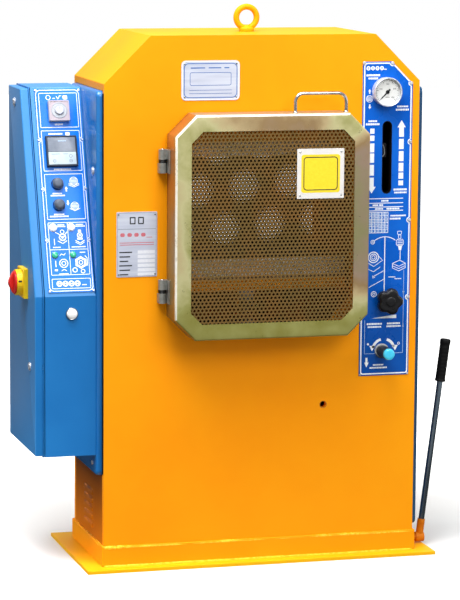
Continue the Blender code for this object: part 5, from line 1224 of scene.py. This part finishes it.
# Valve knob: ribbed barrel whose radius steps in and out 30 times round, a chrome collar and a cyan cap
def valveKnob():
    s = {"centre": (291, 487), "ribs": 30, "ribDepth": 0.05}
    where = on("front", *s["centre"])

    def ribs(turn):
        return s["ribDepth"] * (0.5 - 0.5 * np.clip(np.cos(s["ribs"] * turn) * 2.2, -1, 1))

    barrel = turnedShape([(11.8, 169.1), (13.2, 170), (14, 171.2, 0.4), (14, 173, 1), (14, 212, 1),
                          (14, 213.6, 0.3), (13.5, 214.6), (12.4, 215.1)], where, 180, wave=ribs)
    shaft = turnedShape([(5, 120.3), (5, 165.5)], where, 24)
    collar = turnedShape([(16.6, 165.2), (18, 165.6), (18, 167.2), (17.2, 168.4), (15, 169), (12, 169.1)],
                         where, 48)
    cap = turnedShape([(12.5, 215), (13.1, 215.4), (13.25, 216.6), (13.25, 221.5), (12.9, 223.1), (12, 224.2),
                       (10.3, 224.85), (6, 225.1), (0.8, 225.1)], where, 48)
    addPiece("valveKnob", "release_knob",
             {"darkPlastic": [barrel], "polishedSteel": [collar, shaft], "cyanPlastic": [cap]},
             ["valve_knob"], breakAngle=36)


rightPlatePrint()
slotDetails()
pressureGauge()
pressureKnob()
valveKnob()
print("right control plate finished")


# Cabinet

# The side door's outline on the left side: vertical front, slope, level top, straight rear
doorOutline = softenedOutline(np.array([(139.5, 268.5), (139.5, 635.5), (-22.5, 1096.5), (-152.5, 1096.5),
                                        (-152.5, 268.5)]), 2.2)


# Cabinet door: the outline folded over as one tray, the face broken at its rim by a quarter circle
def cabinetDoor():
    s = {"face": 530, "wall": 18.5, "sheet": 1.5, "bend": 3}
    shell = trayShape(doorOutline, s["wall"], s["sheet"], s["bend"], on("left", 0, 0, s["face"]))
    door = addPiece("cabinetDoor", "side_door", {"litBlueEnamel": [shell]}, ["cabinet_door"])
    # Painted light: the door takes the lighter blue copy, its faces that look forward the plain blue
    finishFacing(door.data, "blueEnamel", (0, -1, 0), 0.98)


# Blue rain channel on the body round the door's folded edge, so that the seam shows blue and not black
def doorRebate():
    s = {"seam": 0.4, "width": 3, "low": 508.8, "high": 510.9}
    strip = frameShape(insetOutline(doorOutline, -s["seam"]), -s["width"], s["low"], s["high"], on("left"))
    addPiece("doorRebate", "machine", {"blueEnamel": [strip]})


# Marks on the slope's plate: cells framed in white, rows of plain blocks, round marks and line marks
leftPlate = {
    "lift": 1.8, "border": (-495, -394, 12.5, 483.5), "corner": 10.5, "line": 1.7, "scallop": 5,
    "cells": [(394.5, 477), (292, 388), (178.5, 285.5), (49, 172), (17.5, 41.2)],
    "cellSides": (-488.7, -398.5),
    "screwRows": (366, 250, 130.5),
    "blocks": [
        (-454.9, -435.9, 402, 3.6), (-471.6, -438.6, 379.7, 3.8), (-464.5, -424.2, 296, 3.6),
        (-472, -450, 239.5, 3.4), (-476.8, -443.1, 234.8, 3.6), (-472, -448, 190.5, 3.4),
        (-482.3, -438.2, 186, 3.6), (-466.5, -450, 166, 2.6), (-469, -448, 162.2, 2.6),
        (-423.5, -406, 166, 2.6), (-426.5, -402, 162.2, 2.6), (-480, -462, 114, 2.6), (-437, -404, 114, 2.6),
        (-470, -448, 52, 2.4), (-419, -406, 101, 2.4)],
    "marks": [
        ("bar", -443.8, -442.4, 110.5, 122), ("bar", -488.7, -398.5, 108.5, 1.4),
        # above the timer: ring, dash, zigzag, solid square
        ("ring", -466.5, 466, 5.8, 1.5), ("bar", -456, -450.5, 464, 1.8), ("bar", -432, -421.5, 466, 9.5),
        ("line", 1.4, (-447, 469), (-443.5, 462), (-439.5, 470), (-435, 470)), ("bar", -432, -422, 379.7, 8),
        # beside the push buttons: striped discs with chevrons and a short arrow
        ("stripes", -421, 268, 9.8, -2), ("stripes", -422.5, 209.5, 9.8, -1),
        ("arrow", -439.5, 244, 256, 3.6),
        ("arrow", -438, 223, 211, 3.6),
        # lamp cells: small line figures built of rings, bars and polygons
        ("ring", -456.5, 150, 5, 1.4), ("ring", -456.5, 137, 8.5, 2.6), ("disc", -456.5, 137, 3),
        ("line", 1.6, (-473, 149), (-464, 144.5), (-460, 138)),
        ("line", 1.6, (-445, 150), (-450, 144), (-453, 138)),
        ("line", 1.8, (-468, 129), (-456.5, 122.5), (-447, 129)), ("line", 1.6, (-476, 134), (-476, 119)),
        ("bar", -419.5, -412.5, 151, 6), ("ring", -416, 141, 6.6, 2.2), ("bar", -422.5, -409.5, 133, 4.6),
        ("disc", -416, 141, 2.6), ("line", 1.8, (-427, 129), (-416, 122.5), (-406, 129)),
        ("line", 1.4, (-427, 125), (-416, 118.5), (-406, 125)), ("ring", -458, 76.5, 10.5, 2),
        ("ring", -458, 76.5, 5.5, 1.8), ("bar", -477.5, -475.5, 75.5, 15), ("bar", -480, -472.5, 61, 4),
        ("line", 1.6, (-466, 94.5), (-462, 98.5), (-456, 95.5), (-453, 100)),
        ("line", 1.6, (-464, 59), (-458, 62.5), (-452, 59)), ("ring", -418, 77.5, 5.2, 1.8),
        ("ring", -433, 60.5, 6, 2), ("ring", -414.5, 57, 5.2, 1.8),
        ("line", 1.6, (-408, 93), (-403, 88), (-403, 70)), ("blocks", -419, -408, 25.8, 2.4, 5)],
}


# The plate's border and cells, its marks, a gear of twelve points in and out by turns, and its screws
def leftPlatePrint():
    s = leftPlate
    where = on("slope", 0, 0, s["lift"])
    left, right, low, high = s["border"]
    corner, line = s["corner"], s["line"]
    rows = [("line", line, (left + corner, z), (right - corner, z)) for z in (low, high)]
    for x, side in ((right, 1), (left, -1)):
        rows += scallopedSide(x, side, (low + corner, high - corner), sorted(s["screwRows"]), s["scallop"],
                              line)
        rows += [("arc", x - side * corner, z + turn * corner, corner, 90 - 90 * side, -90 * turn * side,
                  line) for z, turn in ((low, 1), (high, -1))]
    rows += [("blocks", *block, 90 + number) for number, block in enumerate(s["blocks"])]
    # bottom cell: four thick rings in a row, each with a dash across it
    for a in -471.5 + 14 * np.arange(4):
        rows += [("ring", a, 29.3, 6.8, 3.2), ("bar", a - 4, a + 4, 29.3, 2)]
    start, end = s["cellSides"]
    middle = (start + end) / 2
    cells = [frameShape(roundedRectangle((middle, (foot + top) / 2), end - start, top - foot, 2.2, 4), 1.4,
                        *printed, where) for foot, top in s["cells"]]
    turns = np.arange(12) * np.pi / 6
    reach = 12.5 + 2.5 * (np.arange(12) % 2)
    gear = np.stack([reach * np.cos(turns), reach * np.sin(turns)], -1) + (-418, 77.5)
    white = drawMarks(where, rows + s["marks"]) + cells + [frameShape(gear, 5, *printed, where)]
    addPiece("leftPlatePrint", "machine", {"whiteInk": white})
    spots = [(x, z) for z in (*s["screwRows"], low, high) for x in (left, right)]
    screws = screwHeads([(*spot, 37 * number) for number, spot in enumerate(spots)], 2.8, 1.6, where)
    addPiece("leftPlateScrews", "machine", {"brightNickel": screws})


# Timer: a proud rim round the square face, a large pale dial with ticks, corner marks, a fluted knob
def timer():
    s = {"centre": (-444.6, 432.6), "face": 12.1, "ticks": 21, "start": 240, "sweep": 300,
         "ink": (0.88, 0.98), "flutes": 36, "fluteDepth": 0.035}
    where = on("slope", *s["centre"], s["face"])
    rim = frameShape(roundedRectangle((0, 0), 47.6, 47.6, 3), 2.8, -0.4, 1.2, where)
    face = plateShape(roundedRectangle((0, 0), 44, 44, 2), -0.3, 0.4, where)
    dial = turnedShape([(18.8, -0.2), (18.8, 0.8), (18.2, 1.3), (16.6, 1.3), (16.2, 0.9), (0.8, 0.9)], where,
                       48)
    scale = [frameShape(circlePoints((0, 0), 18, 48), 0.6, 1.25, 1.4, where),
             frameShape(circlePoints((0, 0), 11.2, 40), 0.8, *s["ink"], where)]
    for number in range(s["ticks"]):
        angle = np.radians(s["start"] - s["sweep"] * number / (s["ticks"] - 1))
        outer, width = (14, 0.4) if number % 5 else (14.4, 0.7)
        line = np.array([(np.cos(angle), np.sin(angle))]) * np.linspace(11.8, outer, 3)[:, None]
        scale.append(strokeShape(line, width, *s["ink"], where))
    corners = drawMarks(where, [("polygon", (12, 20), (20, 20), (20, 12)),
                                ("polygon", (13, -12), (20, -17), (20, -12))])
    bars = drawMarks(where, [("bar", -20, -11, -20, 2.2), ("bar", -20, -15, 19, 2)])
    addPiece("timerFace", "machine", {
        "facePlastic": [rim, face], "dialPlastic": [dial], "greyInk": scale, "rustInk": corners,
        "whiteInk": bars}, bevelMm=0.2)
    axis = on("slope", *s["centre"])

    def flutes(turn):
        return s["fluteDepth"] * (0.5 - 0.5 * np.cos(s["flutes"] * turn))

    knob = turnedShape([(9.4, 12.4), (10, 13, 1), (10, 15.2, 1), (9.7, 16.3, 0.6), (8.8, 17.1), (7, 17.3),
                        (0.8, 17.3)], axis, 4 * s["flutes"], wave=flutes)
    pointer = plateShape(roundedRectangle((0, 5.5), 1.1, 6.8, 0.4, 3), 17.1, 17.4, axis)
    addPiece("timerKnob", "timer_dial", {"knobPlastic": [knob], "greyInk": [pointer]},
             ["timer_knob"])


# Controller: a bevelled bezel, a smoked display with a faint row of blocks, a pale pad with three keys
def controller():
    s = {"centre": (-444.6, 337.6, 10.1), "side": 71.8, "window": 64.2,
         "bezel": ((0, -0.4), (0, 0.8), (0.9, 1.7), (2.6, 1.7), (3.4, 0.4))}
    where = on("slope", *s["centre"])
    sides = [(s["side"] - 2 * step, rise) for step, rise in s["bezel"]]
    bezel = ringSurface(put(np.stack([atHeight(roundedRectangle((0, 0), side, side, 2.8), rise)
                                      for side, rise in sides]), where))
    display = pillowShape(roundedRectangle((0, 15), s["window"], 33.5, 1, 3), 0.3, 0.9, 0.3, where)
    keypad = pillowShape(roundedRectangle((0, -17.2), s["window"], 29.2, 1, 3), 0.3, 0.8, 0.3, where)
    keys = drawMarks(moved(where, 0, 0, 0.8), [
        ("ring", -19, -23.5, 4, 1.1), ("ring", 19.5, -23.5, 4, 1.1), ("ring", 19.5, -12.5, 4, 1.1),
        ("blocks", -25, -5, -7.5, 1.6, 31), ("blocks", 2, 13, -7.5, 1.6, 32), ("bar", -21.2, -16.8, -23.5, 1),
        ("bar", 17.3, 21.7, -23.5, 1)])
    lit = drawMarks(moved(where, 0, 0, 0.9), [("blocks", -8, 11, 23.5, 2.2, 33)])
    addPiece("controllerFace", "machine", {
        "slatePlastic": [bezel], "displayGlass": [display], "padPlastic": [keypad], "greyInk": keys,
        "paleInk": lit})


# Push buttons: a dark dished dome that moves, inside a fixed satin ring
def pushButtons():
    dome = [(10, -27.9), (10, 6), (12.2, 6.1), (12.6, 6.6), (12.6, 10.8), (12.3, 11.6), (11.2, 12.1),
            (10.8, 12.8), (10.2, 14.1), (9, 15.2), (7.2, 15.8), (4.6, 16.1), (0.8, 16.1)]
    bezel = [(13.2, 1.8), (14.4, 1.8), (14.2, 2.8), (13.6, 3.1), (13.2, 2.8)]
    for level, b in (("upper", 262), ("lower", 212.4)):
        axis = on("slope", -459.1, b)
        addPiece("pushButton" + level.title(), level + "_button",
                 {"buttonPlastic": [turnedShape(dome, axis, 48)]}, ["reset_button_" + level])
        addPiece("buttonRing" + level.title(), "machine",
                 {"darkPlastic": [turnedShape(bezel, axis, 48, True)]})


# Lamps: a domed lens in a low turned rim; the white pair's rims are moulded with their lenses
def lamps():
    s = {"middle": -456.1, "apart": 21}
    for colour, b, reach in (("white", 160, 8.4), ("green", 96, 7.2)):
        dome = [(reach - 0.2, 2.2), (reach, 3)] + domeProfile(reach, 3, 3.4, 10)
        collar = [(reach + 0.1, 1.9), (reach + 1, 1.9), (reach + 0.9, 2.7), (reach + 0.5, 3.1),
                  (reach + 0.1, 2.9)]
        spots = [on("slope", s["middle"] + side * s["apart"], b) for side in (-1, 1)]
        lenses = [turnedShape(dome, axis, 32) for axis in spots]
        rims = [turnedShape(collar, axis, 32, True) for axis in spots]
        groups = {"greenLens": lenses, "brightZinc": rims}
        if colour == "white":
            groups = {"whiteLens": lenses + rims}
        addPiece(colour + "LampLenses", "machine", groups, [colour + "_lamp_pair"])
    axis = on("front", -444.6, 596)
    lens = turnedShape([(10.5, 112), (10.5, 142.3), (11.8, 144)] + domeProfile(11.8, 4.8, 145.8, 12), axis,
                       48)
    rim = turnedShape([(11.9, 142.3), (14.25, 142.3), (14.25, 144), (13.8, 145.5), (12.8, 146.2),
                       (11.9, 145.8)], axis, 48, True)
    addPiece("powerLamp", "machine", {"whiteLens": [lens], "brightZinc": [rim]}, ["power_lamp"])


# Main switch: on the base, a raised square rim and dark plates, painted shade, where the barrel's padlock
# slots are; the red handle is a disc with a grip whose height falls off to both ends as a power of the
# distance from its middle
def mainSwitch():
    s = {"centre": (33.5, 656.5), "plate": 66.5, "slot": ((28.5, 4.2), (30.3, 4.2), (30.3, 7.8), (28.5, 7.8)),
         "slotHeights": (543.5, 551.5), "gripFoot": 559, "gripRise": 11.6, "gripReach": 25}
    where = on("left", *s["centre"])
    rim = frameShape(roundedRectangle((0, 0), s["plate"], s["plate"], 4), 2.8, 540, 541.2, where)
    dark = drawMarks(moved(where, 0, 0, 540.3), [("bar", -29, -24.5, 27, 1.6)])
    for turn in np.radians((0, 90, 180)):
        axes = np.array([(np.cos(turn), np.sin(turn)), (-np.sin(turn), np.cos(turn))])
        dark.append(plateShape(np.array(s["slot"]) @ axes, *s["slotHeights"], where))
    addPiece("switchBaseDetails", "side_door", {"yellowPlastic": [rim], "darkInk": dark},
             bevelMm=0.25)
    disc = turnedShape([(5, 547.8), (5, 554.1), (26.8, 554.1), (27.2, 554.6), (27.2, 556.2), (26.2, 557.6),
                        (20, 559), (0.8, 559.6)], where, 56)
    along, across = np.meshgrid(np.linspace(-1, 1, 33), np.linspace(-1, 1, 15), indexing="ij")
    rise = s["gripFoot"] + s["gripRise"] * (1 - np.abs(along) ** 1.25) ** 0.9 * (1 - 0.16 * across ** 4)
    width = 5.2 + 2.3 * np.cos(along * np.pi / 2) ** 0.5
    flat = np.dstack([across * width, along * s["gripReach"]])
    grip = reliefShape(flat, rise, np.full(rise.shape, s["gripFoot"] - 0.5), where)
    stripe = plateShape(roundedRectangle((0, 0), 1.4, 30, 0.5, 3), 570, 570.6, where)
    addPiece("mainSwitchHandle", "main_switch",
             {"redPlastic": [disc, grip], "whiteInk": [stripe]},
             ["main_switch_handle"])


# Quarter-turn locks: turned head with a driver slot left between two half domes, shaft and cam inside. Rows
# give the spot on the left side with the face's height, then the cam's middle, size and depth from there.
def locks():
    for name, body, node, spot, middle, size, depth in (
            ("cabinetLockUpper", "upper_door_lock", "cabinet_lock_upper", (-80.4, 1062.4, 530.3), (0, 11.55),
             (12, 35.1), -28.3),
            ("cabinetLockLower", "lower_door_lock", "cabinet_lock_lower", (87.5, 468.7, 530.3), (20.5, 0),
             (53, 12), -28.3),
            ("coverLock", "side_cover_lock", "cover_lock", (113.6, 917.4, 388.8), (0, 8), (12, 28), -5.3)):
        axis = on("left", *spot)
        collar = turnedShape([(8.2, -0.3), (10, 0), (10, 1.2), (9.3, 2), (8.2, 1.8)], axis, 36, True)
        shaft = turnedShape([(4, depth + 0.5), (4, 0.2)], axis, 24)
        cam = pillowShape(roundedRectangle(middle, *size, 3), depth, depth + 2.5, 0.4, axis, 3)
        head = slottedHead(8.2, 4.2, moved(axis, 0, 0, -0.3), 20, 0.13)
        addPiece(name, body, {"brightNickel": [collar, shaft, cam] + head}, [node])


cabinetDoor()
doorRebate()
leftPlatePrint()
timer()
controller()
pushButtons()
lamps()
mainSwitch()
locks()
print("cabinet finished")


# Hand lever

# The lever's rod, drawn round with a chamfered foot, and its grip: a moulded sleeve with very low ribs whose
# radius follows a cosine along its length, and a flange at either end
def handLever():
    s = {"start": 378, "end": 480, "radius": 12, "flange": 12.6, "ribs": 9, "depth": 0.3}
    start, end, radius, flange = (s[key] for key in ("start", "end", "radius", "flange"))
    where = on("lever")
    rod = turnedShape([(6.2, 18.3), (7, 19.2), (7, 473.8), (6.2, 474.7)], where, 36)
    addPiece("leverRod", "pump_lever", {"drawnSteel": [rod]}, ["lever_rod"])
    t = np.linspace(0, 1, 91)
    height = start + 10 + t * (end - start - 22)
    reach = radius - s["depth"] * (0.5 - 0.5 * np.cos(2 * np.pi * s["ribs"] * t)) ** 0.7
    foot = [(7.4, start), (flange - 1, start), (flange, start + 1.2), (flange, start + 5.2),
            (flange - 0.8, start + 6.6), (radius, start + 8.5)]
    cap = [(flange, end - 10.5), (flange, end - 3), (flange - 0.8, end - 1), (flange - 2.6, end),
           (0.6, end + 0.2)]
    grip = turnedShape(foot + list(zip(reach, height)) + cap, where, 48)
    addPiece("leverGrip", "pump_lever", {"gripRubber": [grip]}, ["lever_grip"])
    pin = turnedShape([(3, -10.8), (3.8, -10.4), (3.8, 10.4), (3, 10.8)], on("front", 416.5, 60, 108), 24)
    addPiece("leverCrossPin", "pump_lever", {"shadedLeverEnamel": [pin]})


handLever()
print("hand lever finished")


# Floor, light and camera

half = 14.0
floorMesh = bpy.data.meshes.new("paleFloor")
floorMesh.from_pydata([(-half, -half, 0), (half, -half, 0), (half, half, 0), (-half, half, 0)], [],
                      [(0, 1, 2, 3)])
floorObject = bpy.data.objects.new("paleFloor", floorMesh)
bpy.context.scene.collection.objects.link(floorObject)


# Matt white studio floor. The camera sees it full white, and farther out it glows; other rays see a mid grey,
# and mirror images near the object a dark one, so that it gives no more back than a hall floor would.
def floorMaterial():
    material, tree, shader, coords = startMaterial("matt studio floor",
                                                   {"Roughness": 0.9, "Specular IOR Level": 0.1})
    rays = addNode(tree, "LightPath")
    mottle = addNode(tree, "TexNoise", {"Scale": 1.5}, {"Vector": (coords, "Object")})
    pale = addNode(tree, "ValToRGB", {"stops": [(0.3, "#F8F8F6"), (0.7, "#FCFCFB")]},
                   {"Fac": (mottle, "Fac")})
    apart = addNode(tree, "VectorMath", {"operation": "LENGTH"}, {0: (coords, "Object")})
    around = addNode(tree, "MapRange", {"From Min": 1.5, "From Max": 2.1, "To Min": 1.0, "To Max": 0.0},
                     {"Value": (apart, "Value")})
    hidden = addNode(tree, "Math", {"operation": "MULTIPLY"},
                     {0: (around, "Result"), 1: (rays, "Is Glossy Ray")})
    grey = addNode(tree, "Mix", {"data_type": "RGBA", 6: linear("#8C8C89"), 7: linear("#1C1C1B")},
                   {0: (hidden, 0)})
    colour = addNode(tree, "Mix", {"data_type": "RGBA"},
                     {0: (rays, "Is Camera Ray"), 6: (grey, 2), 7: (pale, "Color")})
    far = addNode(tree, "MapRange", {"From Min": 0.75, "From Max": 1.7}, {"Value": (apart, "Value")})
    glow = addNode(tree, "Math", {"operation": "MULTIPLY"}, {0: (far, "Result"), 1: (rays, "Is Camera Ray")})
    tree.links.new(colour.outputs[2], shader.inputs["Base Color"])
    tree.links.new(pale.outputs["Color"], shader.inputs["Emission Color"])
    tree.links.new(glow.outputs[0], shader.inputs["Emission Strength"])
    return material


floorMesh.materials.append(floorMaterial())

# The camera and glass see plain white; the light that falls on the object is weaker from the left, where the
# photograph's side faces lie dark, and its mirror images are dimmed.
worldSettings = {"left": 0.22, "right": 0.46, "mirror": 0.62}
world = bpy.data.worlds.new("whiteRoom")
bpy.context.scene.world = world
world.use_nodes = True
tree = world.node_tree
tree.nodes.clear()
rays = addNode(tree, "LightPath")
coords = addNode(tree, "TexCoord")
axes = addNode(tree, "SeparateXYZ", links={"Vector": (coords, "Generated")})
ambient = addNode(tree, "MapRange", {"From Min": -1.0, "From Max": 0.35, "To Min": worldSettings["left"],
                                     "To Max": worldSettings["right"]}, {"Value": (axes, "X")})
mirrored = addNode(tree, "Mix", {3: worldSettings["mirror"]},
                   {0: (rays, "Is Glossy Ray"), 2: (ambient, "Result")})
direct = addNode(tree, "Math", {"operation": "MAXIMUM"},
                 {0: (rays, "Is Camera Ray"), 1: (rays, "Is Transmission Ray")})
strength = addNode(tree, "Mix", {3: 1.0}, {0: (direct, 0), 2: (mirrored, 0)})
backdrop = addNode(tree, "Background", {"Color": linear("#FFFFFF")}, {"Strength": (strength, 0)})
addNode(tree, "OutputWorld", links={"Surface": (backdrop, "Background")})

# Soft boxes: place, target, size, power in watts, spread in degrees. The low one gives back the light that a
# pale floor throws on the foot of the left side.
softBoxes = {
    "topBox": ((-0.9, -0.9, 3.8), (-0.1, -0.1, 0.9), 2.4, 228, 180),
    "frontBox": ((0.9, -3.6, 3.0), (0, -0.1, 0.75), 1.8, 70, 180),
    "rightBox": ((3.4, -2.2, 1.6), (0.2, 0, 0.7), 1.6, 22, 180),
    "lowBox": ((-1.9, -0.5, 0.72), (-0.41, 0.0, 0.0), 0.5, 0.45, 19),
}
for name, (spot, target, size, power, spread) in softBoxes.items():
    lamp = bpy.data.lights.new(name, "AREA")
    lamp.shape = "SQUARE"
    lamp.size = size
    lamp.energy = power
    lamp.spread = np.radians(spread)
    lampObject = bpy.data.objects.new(name, lamp)
    lampObject.location = spot
    lampObject.rotation_euler = (Vector(target) - Vector(spot)).to_track_quat("-Z", "Y").to_euler()
    bpy.context.scene.collection.objects.link(lampObject)

cameraSettings = {
    "lens": 172.8, "position": (-1.8529, -6.4668, 1.5856),
    "right": (0.96282004, -0.27004157, 0.00742434), "up": (0.03237886, 0.14264285, 0.98924447),
    "forward": (0.26819615, 0.95222401, -0.14608303),
}
camera = bpy.data.cameras.new("photographView")
camera.lens = cameraSettings["lens"]
camera.clip_end = 60
cameraObject = bpy.data.objects.new("photographView", camera)
back = [-part for part in cameraSettings["forward"]]
turn = Matrix((cameraSettings["right"], cameraSettings["up"], back)).transposed()
cameraObject.matrix_world = Matrix.Translation(cameraSettings["position"]) @ turn.to_4x4()
bpy.context.scene.collection.objects.link(cameraObject)
bpy.context.scene.camera = cameraObject
bpy.context.scene.view_settings.view_transform = "Standard"
